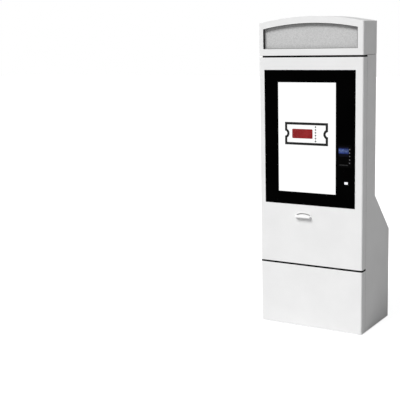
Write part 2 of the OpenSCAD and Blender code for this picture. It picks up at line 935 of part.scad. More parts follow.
module scanner_housing() {
    wall = 5;
    y0 = glass_back_y;
    x = [scan_x - scan_w / 2 - wall, scan_x + scan_w / 2 + wall];
    z = [scan_z - scan_h / 2 - wall, scan_z + scan_h / 2 + wall];
    color([0.13, 0.13, 0.14]) difference() {
        block(x, [y0, y0 + 38], z);
        block([x[0] + wall, x[1] - wall], [y0 - cut, y0 + 30], [z[0] + wall, z[1] - wall]);
    }
}

module scanner_window() {
    inset = 0.2;
    color([0.98, 0.98, 0.98])
        block([scan_x - scan_w / 2 + inset, scan_x + scan_w / 2 - inset], [glass_y + 1, glass_back_y + 3],
              [scan_z - scan_h / 2 + inset, scan_z + scan_h / 2 - inset]);
}

// ---- Ticket chute and printer ----

slot_arc_r = (slot_w * slot_w / 4 + slot_rise * slot_rise) / (2 * slot_rise);
lip_top_z = slot_z - slot_h / 2 - 15;
lip_low_z = lip_top_z - 5;
lip_root_z = lip_low_z - 5;
hood_root_z = slot_z + 14;
lip_corner_r = 9;

// Everything under the slot's arch, moved up by the given amount
module under_slot(up, y0, y1) {
    bar_y(slot_arc_r + up, chute_x, y0, y1, slot_z - slot_arc_r);
}

// The chute's outline in plan, with rounded outer corners
module chute_plan(out) {
    r = min(lip_corner_r, out - 1);
    translate([chute_x - lip_w / 2, front_y - out + r]) square([lip_w, out - r]);
    translate([chute_x - lip_w / 2 + r, front_y - out]) square([lip_w - 2 * r, out]);
    for (side = [-1, 1])
        translate([chute_x + side * (lip_w / 2 - r), front_y - out + r]) circle(r = r);
}

// A sloping hood over the ticket slot and a lip under it that slopes down to its outer edge
module chute_snout() {
    intersection() {
        translate([chute_x - lip_w / 2, 0, 0]) rotate([90, 0, 90]) linear_extrude(lip_w)
            polygon([[front_y, hood_root_z], [front_y - hood_out, slot_z + slot_h / 2 + 3],
                     [front_y - hood_out, slot_z - slot_h / 2], [front_y - lip_out, lip_top_z],
                     [front_y - lip_out, lip_low_z], [front_y, lip_root_z]]);
        translate([0, 0, lip_root_z]) linear_extrude(hood_root_z - lip_root_z)
            chute_plan(lip_out);
    }
}

module ticket_chute() {
    back = front_y + sheet + 4;
    color([0.96, 0.96, 0.96]) difference() {
        union() {
            chute_snout();
            block([chute_x - chute_hole_w / 2, chute_x + chute_hole_w / 2], [front_y, back],
                  [slot_z - chute_hole_h / 2, slot_z + chute_hole_h / 2]);
        }
        intersection() {
            block([chute_x - slot_w / 2, chute_x + slot_w / 2],
                  [front_y - lip_out - cut, back + cut],
                  [slot_z - slot_rise - slot_h / 2, slot_z + slot_h]);
            difference() {
                under_slot(slot_h / 2, front_y - lip_out - cut, back + cut);
                under_slot(-slot_h / 2, front_y - lip_out - 2 * cut, back + 2 * cut);
            }
        }
        difference() {
            block([chute_x - lip_w, chute_x + lip_w],
                  [front_y - lip_out - cut, front_y - hood_out], [lip_top_z, hood_root_z]);
            under_slot(-slot_h / 2, front_y - lip_out - 2 * cut, front_y - hood_out + cut);
        }
    }
}

plate_t = 3;
plate_x = [chute_x - slot_w / 2 - 6, chute_x + slot_w / 2 + 6];
printer_y = [front_y + sheet + 4, front_y + sheet + 124];
printer_z = [slot_z - 42, slot_z + 36];
platen_y = printer_y[0] + 44;
platen_z = slot_z - slot_h / 2 - platen_r;
shaft_r = 3;
gear_teeth = 30;
pinion_teeth = 12;
gear_x = plate_x[1] + plate_t + 1;
gear_t = 6;
pinion_y = platen_y + gear_module * (gear_teeth + pinion_teeth) / 2;
lid_axis_y = printer_y[1] - 6;
lid_axis_z = printer_z[1] + 2;
roll_y = printer_y[0] + 76;
roll_z = printer_z[0] - roll_r - 12;
spindle_r = 6;

// Points of an involute flank on one side of a tooth, from the root to the tip
function flank(base_r, tip_r, half_angle, side) =
    [for (i = [0 : 4])
        let (r = max(base_r, base_r + (tip_r - base_r) * i / 4),
             roll = sqrt(pow(r / base_r, 2) - 1),
             angle = roll * 180 / PI - atan(roll),
             a = side * (half_angle - angle))
        [r * cos(a), r * sin(a)]];

// Outline of a spur gear with involute teeth, thinned for backlash
function gear_points(teeth, backlash) =
    let (pitch_r = gear_module * teeth / 2,
         base_r = pitch_r * cos(20),
         tip_r = pitch_r + 0.85 * gear_module,
         root_r = pitch_r - 1.3 * gear_module,
         inv20 = tan(20) * 180 / PI - 20,
         half_angle = (90 - backlash / gear_module * 28.6) / teeth + inv20,
         low = [for (p = flank(max(base_r, root_r), tip_r, half_angle, -1)) p],
         high = [for (p = flank(max(base_r, root_r), tip_r, half_angle, 1)) p])
    [for (t = [0 : teeth - 1])
        let (turn = 360 * t / teeth)
        for (p = concat(
            [[root_r * cos(-half_angle), root_r * sin(-half_angle)]], low,
            [for (i = [4 : -1 : 0]) high[i]],
            [[root_r * cos(half_angle), root_r * sin(half_angle)]]))
        [p[0] * cos(turn) - p[1] * sin(turn), p[0] * sin(turn) + p[1] * cos(turn)]];

// A gear on an axle along X, turned by the given angle
module spur_gear(teeth, y, z, turn) {
    translate([gear_x, y, z]) rotate([turn, 0, 0]) rotate([90, 0, 90])
        linear_extrude(gear_t) polygon(gear_points(teeth, 0.25));
}

module printer_chassis() {
    motor_r = 14;
    color([0.55, 0.56, 0.58]) {
        difference() {
            for (x = [[plate_x[0] - plate_t, plate_x[0]], [plate_x[1], plate_x[1] + plate_t]])
                block(x, printer_y, printer_z);
            bar_x(shaft_r + running, plate_x[0] - plate_t - cut, plate_x[1] + plate_t + cut,
                  platen_y, platen_z);
            bar_x(shaft_r + running, plate_x[1] - cut, plate_x[1] + plate_t + cut,
                  pinion_y, platen_z);
        }
        difference() {
            block(plate_x, [printer_y[0], printer_y[0] + plate_t], printer_z);
            block([chute_x - slot_w / 2, chute_x + slot_w / 2],
                  [printer_y[0] - cut, printer_y[0] + plate_t + cut],
                  [slot_z - slot_rise - slot_h, slot_z + slot_h]);
        }
        block(plate_x, printer_y, [printer_z[0], printer_z[0] + plate_t]);
        block([plate_x[0], plate_x[1]], [platen_y - 12, platen_y + 14],
              [slot_z - slot_h / 2 + 1, slot_z + 18]);
        block([plate_x[0], plate_x[1]], [printer_y[1] - plate_t, printer_y[1]],
              [printer_z[0], printer_z[0] + 24]);
        bar_x(motor_r, plate_x[1] - 34, plate_x[1] - 8, pinion_y, platen_z);
        block([plate_x[1] - 34, plate_x[1] - 8], [pinion_y - 6, pinion_y + 6],
              [printer_z[0], platen_z]);
    }
    roll_arms();
}

// Two arms under the chassis whose bearings hold the paper roll's spindle
module roll_arms() {
    arm_y = [roll_y - 14, roll_y + 14];
    color([0.55, 0.56, 0.58]) difference() {
        for (x = [[plate_x[0] - plate_t, plate_x[0]], [plate_x[1], plate_x[1] + plate_t]])
            block(x, arm_y, [roll_z - 14, printer_z[0]]);
        bar_x(spindle_r + running, plate_x[0] - plate_t - cut, plate_x[1] + plate_t + cut,
              roll_y, roll_z);
    }
}

lid_r = 3;

module printer_lid() {
    x0 = plate_x[0] - plate_t;
    x1 = plate_x[1] + plate_t;
    color([0.2, 0.35, 0.3]) {
        block([x0, x1], [printer_y[0] + 14, lid_axis_y], [printer_z[1] + air, printer_z[1] + air + 2.5]);
        bar_x(lid_r, x0, x1, lid_axis_y, lid_axis_z + air + 1);
    }
}

module platen_roller() {
    color([0.1, 0.1, 0.1]) {
        bar_x(platen_r, plate_x[0] + 1, plate_x[1] - 1, platen_y, platen_z);
        bar_x(shaft_r, plate_x[0] - plate_t, gear_x + gear_t, platen_y, platen_z);
        spur_gear(gear_teeth, platen_y, platen_z, 0);
    }
}

module feed_pinion() {
    color([0.85, 0.85, 0.8]) {
        bar_x(shaft_r, plate_x[1] - 8 + air, gear_x + gear_t, pinion_y, platen_z);
        spur_gear(pinion_teeth, pinion_y, platen_z, 180 + 180 / pinion_teeth);
    }
}

module paper_roll() {
    color([0.97, 0.96, 0.94]) difference() {
        bar_x(roll_r, plate_x[0] + 6, plate_x[1] - 6, roll_y, roll_z);
        bar_x(spindle_r, plate_x[0], plate_x[1], roll_y, roll_z);
    }
}

module roll_spindle() {
    color([0.15, 0.15, 0.16])
        bar_x(spindle_r, plate_x[0] - plate_t - 3, plate_x[1] + plate_t + 3, roll_y, roll_z);
}

// ---- Nodes ----

base_plate();
base_tray();
cable_grommet();
side_panel(-1);  // left_side_panel
side_panel(1);  // right_side_panel
front_frame();
door_gaskets();
upper_back_panel();
slope_panel();
rear_frame();
top_deck();
header_gasket();
header_shell();
sign_frame();
sign_diffuser();
header_light_bars();
header_led_driver();
header_back_cover();
panel_screws();
equipment_shelf();
computer();
power_supply();
breaker_box();
breaker_toggle();
fan_frame();
fan_rotor();
fan_guard();
cabinet_hinge_leaves();
hinge_pins();
latch_brackets();
latch_shaft();
front_door_skin();
front_door_hinge_leaves();
door_strikers();
screen_bezel();
glass_seat();
touch_glass();
display_module();
display_brackets();
reader_housing();
reader_display();
for (i = [0 : 4])
    reader_key(i);
scanner_housing();
scanner_window();
ticket_chute();
printer_chassis();
printer_lid();
platen_roller();
feed_pinion();
paper_roll();
roll_spindle();
lower_door_skin();
lower_door_hinge_leaves();
rear_door_skin();
rear_door_hinge_leaves();
rear_handle();
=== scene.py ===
# %% [markdown]
# A free-standing ticket machine, about two metres tall: a powder-coated steel cabinet with an
# arched header, a front door full of black glass, a card reader, a code scanner and a ticket
# chute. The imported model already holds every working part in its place. This lesson gives
# each part its real finish, models the shapes that engineering solids leave out, and sets up
# a plain studio round it.

# %% Load the machine
import json
import math

import bpy
from mathutils import Matrix, Vector


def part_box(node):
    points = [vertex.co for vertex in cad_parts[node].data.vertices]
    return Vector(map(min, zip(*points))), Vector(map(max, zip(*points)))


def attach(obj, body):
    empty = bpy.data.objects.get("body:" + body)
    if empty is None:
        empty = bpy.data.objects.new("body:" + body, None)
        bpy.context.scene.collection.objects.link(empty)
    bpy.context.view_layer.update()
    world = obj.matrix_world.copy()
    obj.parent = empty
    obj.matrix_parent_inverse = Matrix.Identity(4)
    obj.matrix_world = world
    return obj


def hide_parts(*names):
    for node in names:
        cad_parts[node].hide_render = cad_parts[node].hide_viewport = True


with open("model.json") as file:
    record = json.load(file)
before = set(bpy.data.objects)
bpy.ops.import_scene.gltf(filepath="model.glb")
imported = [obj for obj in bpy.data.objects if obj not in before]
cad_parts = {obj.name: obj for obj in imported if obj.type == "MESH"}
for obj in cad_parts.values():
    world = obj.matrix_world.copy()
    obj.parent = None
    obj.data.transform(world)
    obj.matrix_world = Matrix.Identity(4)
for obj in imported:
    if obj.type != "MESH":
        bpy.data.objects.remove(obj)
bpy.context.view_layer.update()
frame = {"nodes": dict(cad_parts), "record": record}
scene = bpy.context.scene

# %% [markdown]
# The camera comes first, so that every later step can be judged through it. It stands to the
# right of the machine and looks slightly down. A long lens keeps the upright edges nearly
# parallel. Its three turns are given one by one: how far it is panned, tilted and rolled.

# %% The camera
CAMERA_PLACE = Vector((2.4756, -5.5309, 1.9154))
CAMERA_PAN = math.radians(31.94)
CAMERA_TILT = math.radians(-10.24)
CAMERA_ROLL = math.radians(-1.355)
LENS_MM = 83.24


def place_camera():
    lens = bpy.data.cameras.new("camera")
    lens.sensor_width = 36
    lens.lens = LENS_MM
    camera = bpy.data.objects.new("camera", lens)
    turn = (Matrix.Rotation(CAMERA_PAN, 4, "Z")
            @ Matrix.Rotation(math.pi / 2 + CAMERA_TILT, 4, "X")
            @ Matrix.Rotation(CAMERA_ROLL, 4, "Z"))
    camera.matrix_world = Matrix.Translation(CAMERA_PLACE) @ turn
    scene.collection.objects.link(camera)
    scene.camera = camera
    return camera


camera = place_camera()
print("camera stands", round((CAMERA_PLACE - Vector((0, 0, 1))).length, 2), "m away")

# %% [markdown]
# Shader sockets want linear light, but finishes are given as sRGB colours. One
# function turns a hex colour into linear light, and one more adds a shader node, sets its
# properties and fills its inputs with numbers or with links.

# %% Small helpers for materials
MM = 0.001


def linear(hex_colour):
    channels = [int(hex_colour[i:i + 2], 16) / 255 for i in (1, 3, 5)]
    return [c / 12.92 if c <= 0.04045 else ((c + 0.055) / 1.055) ** 2.4
            for c in channels] + [1.0]


def add_node(tree, kind, inputs=None, **settings):
    node = tree.nodes.new("ShaderNode" + kind)
    for name, value in settings.items():
        setattr(node, name, value)
    for name, value in (inputs or {}).items():
        if isinstance(value, bpy.types.NodeSocket):
            tree.links.new(value, node.inputs[name])
        else:
            node.inputs[name].default_value = value
    return node


def start_material(name):
    material = bpy.data.materials.new(name)
    material.use_nodes = True
    tree = material.node_tree
    tree.nodes.clear()
    place = add_node(tree, "TexCoord").outputs["Object"]
    return material, tree, place


def close_material(tree, shader):
    add_node(tree, "OutputMaterial", {"Surface": shader.outputs[0]})


def mottle(tree, place, size, low, high, detail=2.0):
    # Soft patches of the given size that run between two values
    noise = add_node(tree, "TexNoise", {"Vector": place, "Scale": 1 / size, "Detail": detail})
    return add_node(tree, "MapRange", {"Value": noise.outputs["Fac"], "From Min": 0.35,
                                       "From Max": 0.65, "To Min": low, "To Max": high})

# %% [markdown]
# Polyester powder coat is sprayed on as dust and baked until it flows. That leaves a skin
# with a faint orange peel, softly glossy, and a little thinner along the edges of the sheet.
# Those edges are also painted a lighter tone here, a painted highlight where the sheet rounds
# over. The peel's real grain is under a millimetre and would vanish here, so it is drawn at
# 5 mm. The Bevel node finds the edges and rounds them by the coat's thickness, and its normal
# also gives the mask for the painted edge highlight.


# %% Powder coat
def powder_coat(name, body_hex, cloud_hex, painted_edge_highlight_hex, roughness, gloss):
    material, tree, place = start_material(name)
    clouds = mottle(tree, place, 180 * MM, 0, 1)
    body = add_node(tree, "MixRGB", {"Fac": clouds.outputs[0], "Color1": linear(body_hex),
                                       "Color2": linear(cloud_hex)})
    rounded = add_node(tree, "Bevel", {"Radius": 1.2 * MM}, samples=4)
    flat = add_node(tree, "NewGeometry")
    facing = add_node(tree, "VectorMath", {0: rounded.outputs[0], 1: flat.outputs["Normal"]},
                      operation="DOT_PRODUCT")
    # Painted highlight: where the Bevel normal turns away from the face's own normal, near the
    # edges, the colour is mixed toward a lighter edge colour
    edge = add_node(tree, "MapRange", {"Value": facing.outputs["Value"], "From Min": 0.98,
                                       "From Max": 0.85})
    colour = add_node(tree, "MixRGB", {"Fac": edge.outputs[0], "Color1": body.outputs[0],
                                       "Color2": linear(painted_edge_highlight_hex)})
    satin = mottle(tree, place, 60 * MM, roughness - 0.04, roughness + 0.05)
    peel = add_node(tree, "TexNoise", {"Vector": place, "Scale": 1 / (5 * MM), "Detail": 1})
    bump = add_node(tree, "Bump", {"Height": peel.outputs["Fac"], "Strength": 0.12,
                                   "Distance": 0.25 * MM, "Normal": rounded.outputs[0]})
    shader = add_node(tree, "BsdfPrincipled", {
        "Base Color": colour.outputs[0], "Roughness": satin.outputs[0],
        "Normal": bump.outputs[0], "IOR": 1.5, "Specular IOR Level": gloss})
    close_material(tree, shader)
    return material


white_coat = powder_coat("white polyester powder coat", "#EFEFEF", "#ECECEC", "#F6F6F6",
                         0.48, 0.35)
black_coat = powder_coat("satin black powder coat", "#0A0A0B", "#0D0D0E", "#1C1C1E",
                         0.45, 0.3)
print("powder coats:", white_coat.name, "and", black_coat.name)

# %% [markdown]
# Zinc is plated on steel in a bath, and a blue passivate seals it. It keeps the grain of the
# rolled sheet, in long streaks, and blooms in pale and dark patches a few centimetres wide.
# Hot-dip galvanising grows crystals instead, which show as spangles some 12 mm across.


# %% Zinc-plated and galvanised steel
def zinc_plate(name, low_hex, high_hex):
    material, tree, place = start_material(name)
    grain = add_node(tree, "Mapping", {"Vector": place, "Scale": (1, 14, 14)})
    streaks = mottle(tree, grain.outputs[0], 30 * MM, 0, 1, detail=5)
    bloom = mottle(tree, place, 35 * MM, 0.30, 0.46)
    colour = add_node(tree, "MixRGB", {"Fac": streaks.outputs[0], "Color1": linear(low_hex),
                                       "Color2": linear(high_hex)})
    rounded = add_node(tree, "Bevel", {"Radius": 0.6 * MM}, samples=4)
    bump = add_node(tree, "Bump", {"Height": streaks.outputs[0], "Strength": 0.1,
                                   "Distance": 0.1 * MM, "Normal": rounded.outputs[0]})
    shader = add_node(tree, "BsdfPrincipled", {
        "Base Color": colour.outputs[0], "Roughness": bloom.outputs[0],
        "Normal": bump.outputs[0], "Metallic": 1})
    close_material(tree, shader)
    return material


def galvanised(name):
    material, tree, place = start_material(name)
    crystals = add_node(tree, "TexVoronoi", {"Vector": place, "Scale": 1 / (12 * MM)})
    level = add_node(tree, "SeparateColor", {"Color": crystals.outputs["Color"]})
    colour = add_node(tree, "MixRGB", {"Fac": level.outputs[0], "Color1": linear("#9DA1A5"),
                                       "Color2": linear("#C3C6C9")})
    sheen = add_node(tree, "MapRange", {"Value": level.outputs[1], "To Min": 0.3,
                                        "To Max": 0.55})
    shader = add_node(tree, "BsdfPrincipled", {
        "Base Color": colour.outputs[0], "Roughness": sheen.outputs[0], "Metallic": 1})
    close_material(tree, shader)
    return material


zinc = zinc_plate("blue passivated zinc plate", "#AEB2B8", "#C6C9CE")
bright_zinc = zinc_plate("bright zinc plated screws", "#BEC1C5", "#D8DADD")
spangle = galvanised("hot-dip galvanised steel")

# %% [markdown]
# Anodised aluminium is brushed before it is dyed, so fine lines run one way through it. The
# real lines are a tenth of a millimetre apart, and here they are drawn at one millimetre.


# %% Anodised aluminium
def anodised(name, low_hex, high_hex):
    material, tree, place = start_material(name)
    brushed = add_node(tree, "Mapping", {"Vector": place, "Scale": (0.02, 1, 1)})
    lines = mottle(tree, brushed.outputs[0], 1 * MM, 0, 1)
    colour = add_node(tree, "MixRGB", {"Fac": lines.outputs[0], "Color1": linear(low_hex),
                                       "Color2": linear(high_hex)})
    sheen = add_node(tree, "MapRange", {"Value": lines.outputs[0], "To Min": 0.36,
                                        "To Max": 0.5})
    shader = add_node(tree, "BsdfPrincipled", {
        "Base Color": colour.outputs[0], "Roughness": sheen.outputs[0], "Metallic": 1})
    close_material(tree, shader)
    return material


clear_anodised = anodised("clear anodised aluminium", "#B4B6BA", "#C4C6C9")
black_anodised = anodised("black anodised aluminium", "#1B1B1E", "#26262A")

# %% [markdown]
# Moulded plastics copy the tool that shaped them. Housings get a spark-eroded texture, a
# fine even grain that hides scratches. Gloss parts come from a polished tool and show only
# a slight waviness. One recipe covers both, with the grain's size and depth as its inputs.


# %% Moulded plastics
def moulded(name, low_hex, high_hex, roughness, grain_mm, depth, gloss):
    material, tree, place = start_material(name)
    tone = mottle(tree, place, 25 * MM, 0, 1)
    colour = add_node(tree, "MixRGB", {"Fac": tone.outputs[0], "Color1": linear(low_hex),
                                       "Color2": linear(high_hex)})
    grain = add_node(tree, "TexNoise", {"Vector": place, "Scale": 1 / (grain_mm * MM),
                                        "Detail": 2})
    rounded = add_node(tree, "Bevel", {"Radius": 0.5 * MM}, samples=4)
    bump = add_node(tree, "Bump", {"Height": grain.outputs["Fac"], "Strength": depth,
                                   "Distance": 0.1 * MM, "Normal": rounded.outputs[0]})
    dull = add_node(tree, "MapRange", {"Value": grain.outputs["Fac"],
                                       "To Min": roughness - 0.06,
                                       "To Max": roughness + 0.06})
    shader = add_node(tree, "BsdfPrincipled", {
        "Base Color": colour.outputs[0], "Roughness": dull.outputs[0],
        "Normal": bump.outputs[0], "IOR": 1.53, "Specular IOR Level": gloss})
    close_material(tree, shader)
    return material


chute_plastic = moulded("satin white ABS", "#E9E9E9", "#ECECEC", 0.45, 9, 0.08, 0.35)
reader_plastic = moulded("spark-textured black ABS", "#010101", "#030303", 0.5, 1.6, 0.2, 0.03)
scanner_plastic = moulded("black polycarbonate", "#0E0E10", "#141416", 0.4, 1.6, 0.2, 0.4)
keycap = moulded("grey silicone keycap", "#3A3A3D", "#454548", 0.4, 1.2, 0.1, 0.4)
breaker_plastic = moulded("light grey polyamide", "#D2D3D1", "#DADBD9", 0.5, 1.6, 0.25, 0.4)
lever_plastic = moulded("black phenolic", "#0C0C0D", "#131315", 0.3, 3, 0.1, 0.5)
fan_plastic = moulded("black glass-filled PBT", "#0F0F10", "#171719", 0.55, 1.6, 0.3, 0.35)
lid_plastic = moulded("dark green ABS", "#173F36", "#1C4A3F", 0.35, 1.6, 0.15, 0.5)
acetal = moulded("natural acetal", "#DAD7CB", "#E4E1D6", 0.4, 3, 0.1, 0.5)
trim_plastic = moulded("dark grey ABS trim", "#161618", "#1D1D1F", 0.4, 1.6, 0.15, 0.3)
mark_ink = moulded("pale grey pad-printed ink", "#9A9A9E", "#A6A6AA", 0.5, 1.2, 0.05, 0.3)
spindle_plastic = moulded("black polyamide", "#121213", "#19191B", 0.5, 1.6, 0.2, 0.4)

# %% [markdown]
# Rubber is matte because its surface is full of tiny pits that scatter light. The door
# seals and the floor grommet are extruded EPDM. The platen is ground to size on a lathe,
# which leaves fine rings round it.


# %% Rubber
def rubber(name, ring_mm):
    material, tree, place = start_material(name)
    rings = add_node(tree, "Mapping", {"Vector": place, "Scale": (1, 0.02, 0.02)})
    pits = mottle(tree, rings.outputs[0] if ring_mm else place, (ring_mm or 1.5) * MM, 0, 1)
    colour = add_node(tree, "MixRGB", {"Fac": pits.outputs[0], "Color1": linear("#050505"),
                                       "Color2": linear("#0D0D0D")})
    dull = add_node(tree, "MapRange", {"Value": pits.outputs[0], "To Min": 0.7,
                                       "To Max": 0.88})
    bump = add_node(tree, "Bump", {"Height": pits.outputs[0], "Strength": 0.3,
                                   "Distance": 0.15 * MM})
    shader = add_node(tree, "BsdfPrincipled", {
        "Base Color": colour.outputs[0], "Roughness": dull.outputs[0],
        "Normal": bump.outputs[0], "IOR": 1.52, "Specular IOR Level": 0.15})
    close_material(tree, shader)
    return material


epdm = rubber("extruded EPDM rubber", None)
edge_rubber = rubber("black PVC edging", None)
ground_rubber = rubber("ground nitrile rubber", 1.0)

# %% [markdown]
# The glass front is one black-printed pane with a clear window over the display. Its
# anti-reflective coating keeps it nearly black even in a white room. The clear window is
# drawn as a thin gloss over what lies behind it, not as a refracting block, because the
# display is bonded to its back.


# %% Glass
def printed_glass():
    material, tree, place = start_material("black-printed toughened glass")
    waviness = add_node(tree, "TexNoise", {"Vector": place, "Scale": 1 / (120 * MM)})
    bump = add_node(tree, "Bump", {"Height": waviness.outputs["Fac"], "Strength": 0.02,
                                   "Distance": 0.2 * MM})
    wiped = mottle(tree, place, 90 * MM, 0.05, 0.12)
    print_tone = mottle(tree, place, 300 * MM, 0, 1)
    colour = add_node(tree, "MixRGB", {"Fac": print_tone.outputs[0], "Color1": linear("#000000"),
                                       "Color2": linear("#020202")})
    shader = add_node(tree, "BsdfPrincipled", {
        "Base Color": colour.outputs[0], "Roughness": wiped.outputs[0],
        "Normal": bump.outputs[0], "IOR": 1.5, "Specular IOR Level": 0.015})
    close_material(tree, shader)
    return material


def clear_glass():
    material, tree, place = start_material("clear coated glass")
    wiped = mottle(tree, place, 90 * MM, 0.03, 0.09)
    shader = add_node(tree, "BsdfPrincipled", {
        "Base Color": linear("#F4F8F8"), "Roughness": wiped.outputs[0], "IOR": 1.5,
        "Specular IOR Level": 0.05, "Alpha": 0.02})
    close_material(tree, shader)
    return material


black_glass = printed_glass()
clear_glass_coat = clear_glass()

# %% [markdown]
# The header's sign is a sheet of opal acrylic with a stippled face, which spreads the light
# of the bars behind it. The lamps are off here, so it shows as a soft light grey, with the
# grain of the stipple. The bars themselves carry a row of yellow phosphor squares.


# %% The sign's acrylic and its light bars
def opal_acrylic():
    material, tree, place = start_material("stippled opal acrylic")
    stipple = mottle(tree, place, 6 * MM, 0, 1)
    colour = add_node(tree, "MixRGB", {"Fac": stipple.outputs[0], "Color1": linear("#BFBFBF"),
                                       "Color2": linear("#D0D0D0")})
    bump = add_node(tree, "Bump", {"Height": stipple.outputs[0], "Strength": 0.15,
                                   "Distance": 0.5 * MM})
    dull = add_node(tree, "MapRange", {"Value": stipple.outputs[0], "To Min": 0.5,
                                       "To Max": 0.7})
    shader = add_node(tree, "BsdfPrincipled", {
        "Base Color": colour.outputs[0], "Roughness": dull.outputs[0],
        "Normal": bump.outputs[0], "IOR": 1.49, "Specular IOR Level": 0.3})
    close_material(tree, shader)
    return material


def light_bar():
    material, tree, place = start_material("white light bar with phosphor squares")
    axes = add_node(tree, "SeparateXYZ", {"Vector": place})
    step = add_node(tree, "Math", {0: axes.outputs["X"], 1: 8.3 * MM}, operation="PINGPONG")
    lamp = add_node(tree, "Math", {0: step.outputs[0], 1: 2.5 * MM}, operation="LESS_THAN")
    colour = add_node(tree, "MixRGB", {"Fac": lamp.outputs[0], "Color1": linear("#ECECE8"),
                                       "Color2": linear("#E3C94A")})
    soft = add_node(tree, "MapRange", {"Value": lamp.outputs[0], "To Min": 0.35,
                                       "To Max": 0.6})
    shader = add_node(tree, "BsdfPrincipled", {
        "Base Color": colour.outputs[0], "Roughness": soft.outputs[0], "IOR": 1.45})
    close_material(tree, shader)
    return material


acrylic = opal_acrylic()
bar_face = light_bar()

# %% [markdown]
# Three faces give off light of their own: the display, the card reader's small blue panel
# and the scanner's window. A display's white is never perfectly even, so its light varies a
# little in broad soft patches. The reader's panel is dark blue with one bright band of
# character cells. Real cells are 3 mm wide, too fine to show, so they are drawn at 7 mm.


# %% Faces that glow
def glow(name, low_hex, high_hex, patch_mm, strength):
    material, tree, place = start_material(name)
    even = mottle(tree, place, patch_mm * MM, 0, 1)
    colour = add_node(tree, "MixRGB", {"Fac": even.outputs[0], "Color1": linear(low_hex),
                                       "Color2": linear(high_hex)})
    shader = add_node(tree, "BsdfPrincipled", {
        "Base Color": linear("#040404"), "Roughness": 0.3, "Specular IOR Level": 0.05,
        "Emission Color": colour.outputs[0], "Emission Strength": strength})
    close_material(tree, shader)
    return material


def reader_panel():
    material, tree, place = start_material("blue backlit character display")
    low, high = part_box("reader_display")
    axes = add_node(tree, "SeparateXYZ", {"Vector": place})
    height = add_node(tree, "MapRange", {"Value": axes.outputs["Z"], "From Min": low.z,
                                         "From Max": high.z})
    cells = add_node(tree, "TexVoronoi", {"Vector": place, "Scale": 1 / (7 * MM),
                                          "Randomness": 0.4}, distance="CHEBYCHEV")
    shade = add_node(tree, "SeparateColor", {"Color": cells.outputs["Color"]})
    lit_cell = add_node(tree, "MapRange", {"Value": shade.outputs[0], "To Min": 0.35})
    band = add_node(tree, "ValToRGB", {"Fac": height.outputs[0]})
    stops = band.color_ramp.elements
    stops[0].position, stops[0].color = 0.0, linear("#02030E")
    stops[1].position, stops[1].color = 1.0, linear("#04061A")
    for place_up, hex_colour in ((0.26, "#03061F"), (0.36, "#3D57B0"), (0.58, "#7F97D8"),
                                 (0.78, "#4A63BC"), (0.84, "#080D30")):
        stop = stops.new(place_up)
        stop.color = linear(hex_colour)
    lit = add_node(tree, "MixRGB", {"Fac": 1.0, "Color1": band.outputs[0],
                                    "Color2": lit_cell.outputs[0]}, blend_type="MULTIPLY")
    shader = add_node(tree, "BsdfPrincipled", {
        "Base Color": linear("#030308"), "Roughness": 0.2, "Specular IOR Level": 0.1,
        "Emission Color": lit.outputs[0], "Emission Strength": 0.62})
    close_material(tree, shader)
    return material


white_glow = glow("lit white display", "#FBFBFB", "#FFFFFF", 400, 1.05)
scan_glow = glow("lit scanner window", "#F4F6FF", "#FFFFFF", 8, 1.1)
blue_panel = reader_panel()

# %% [markdown]
# Ticket stock is thermal paper: smooth, slightly warm, and matte. On the flat ends of a
# roll the wound layers show as fine rings, which a wave pattern draws round the roll's axis.


# %% Ticket paper
def thermal_paper():
    material, tree, place = start_material("thermal ticket paper")
    low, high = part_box("paper_roll")
    centre = (low + high) / 2
    centred = add_node(tree, "Mapping", {"Vector": place, "Location": -centre})
    layers = add_node(tree, "TexWave", {"Vector": centred.outputs[0], "Scale": 1 / (8 * MM),
                                        "Distortion": 1.5, "Detail Scale": 0.5},
                      wave_type="RINGS", rings_direction="X")
    colour = add_node(tree, "MixRGB", {"Fac": layers.outputs["Fac"], "Color1": linear("#EDEAE2"),
                                       "Color2": linear("#F7F5EF")})
    dull = add_node(tree, "MapRange", {"Value": layers.outputs["Fac"], "To Min": 0.6,
                                       "To Max": 0.75})
    shader = add_node(tree, "BsdfPrincipled", {
        "Base Color": colour.outputs[0], "Roughness": dull.outputs[0],
        "Specular IOR Level": 0.25})
    close_material(tree, shader)
    return material


paper = thermal_paper()

# %% [markdown]
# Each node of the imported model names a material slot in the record. The finishes above are
# handed out by slot, so that no node is forgotten.

# %% Give every node its finish
FINISH = {
    "white_powder_coat": white_coat, "black_powder_coat": black_coat, "zinc_plate": zinc,
    "rubber": epdm, "diffuser": acrylic, "led_strip": bar_face,
    "driver_case": clear_anodised, "screw_steel": bright_zinc,
    "computer_case": black_anodised, "supply_case": spangle,
    "breaker_case": breaker_plastic, "breaker_lever": lever_plastic,
    "fan_plastic": fan_plastic, "bezel_glass": black_glass,
    "cover_glass": clear_glass_coat, "display_panel": spangle,
    "reader_plastic": reader_plastic, "reader_lcd": blue_panel, "key_plastic": keycap,
    "scanner_case": scanner_plastic, "scanner_lens": scan_glow,
    "chute_plastic": chute_plastic, "printer_frame": zinc, "printer_lid": lid_plastic,
    "platen_rubber": ground_rubber, "pinion_plastic": acetal, "ticket_paper": paper,
    "spindle_plastic": spindle_plastic,
}
SLOT_OF = {part["node"]: part["material_slot"] for part in frame["record"]["subparts"]}


def dress(thing, material):
    thing.data.materials.clear()
    thing.data.materials.append(material)


for name, thing in frame["nodes"].items():
    dress(thing, FINISH[SLOT_OF[name]])
print(len(frame["nodes"]), "nodes dressed from", len(FINISH), "finishes")

# %% [markdown]
# Operators work on whatever is selected, and loading leaves every node selected. These few
# helpers deselect, bring one piece forward, pick faces by where they look, and close a
# piece by giving it its finish and the body it rides on.


# %% Small helpers for modelling
def bring_forward(piece):
    bpy.ops.object.select_all(action="DESELECT")
    piece.select_set(True)
    bpy.context.view_layer.objects.active = piece


def new_piece(name):
    piece = bpy.context.object
    piece.name = piece.data.name = name
    return piece


def fix_place(piece):
    bring_forward(piece)
    bpy.ops.object.transform_apply(location=True, rotation=True, scale=True)


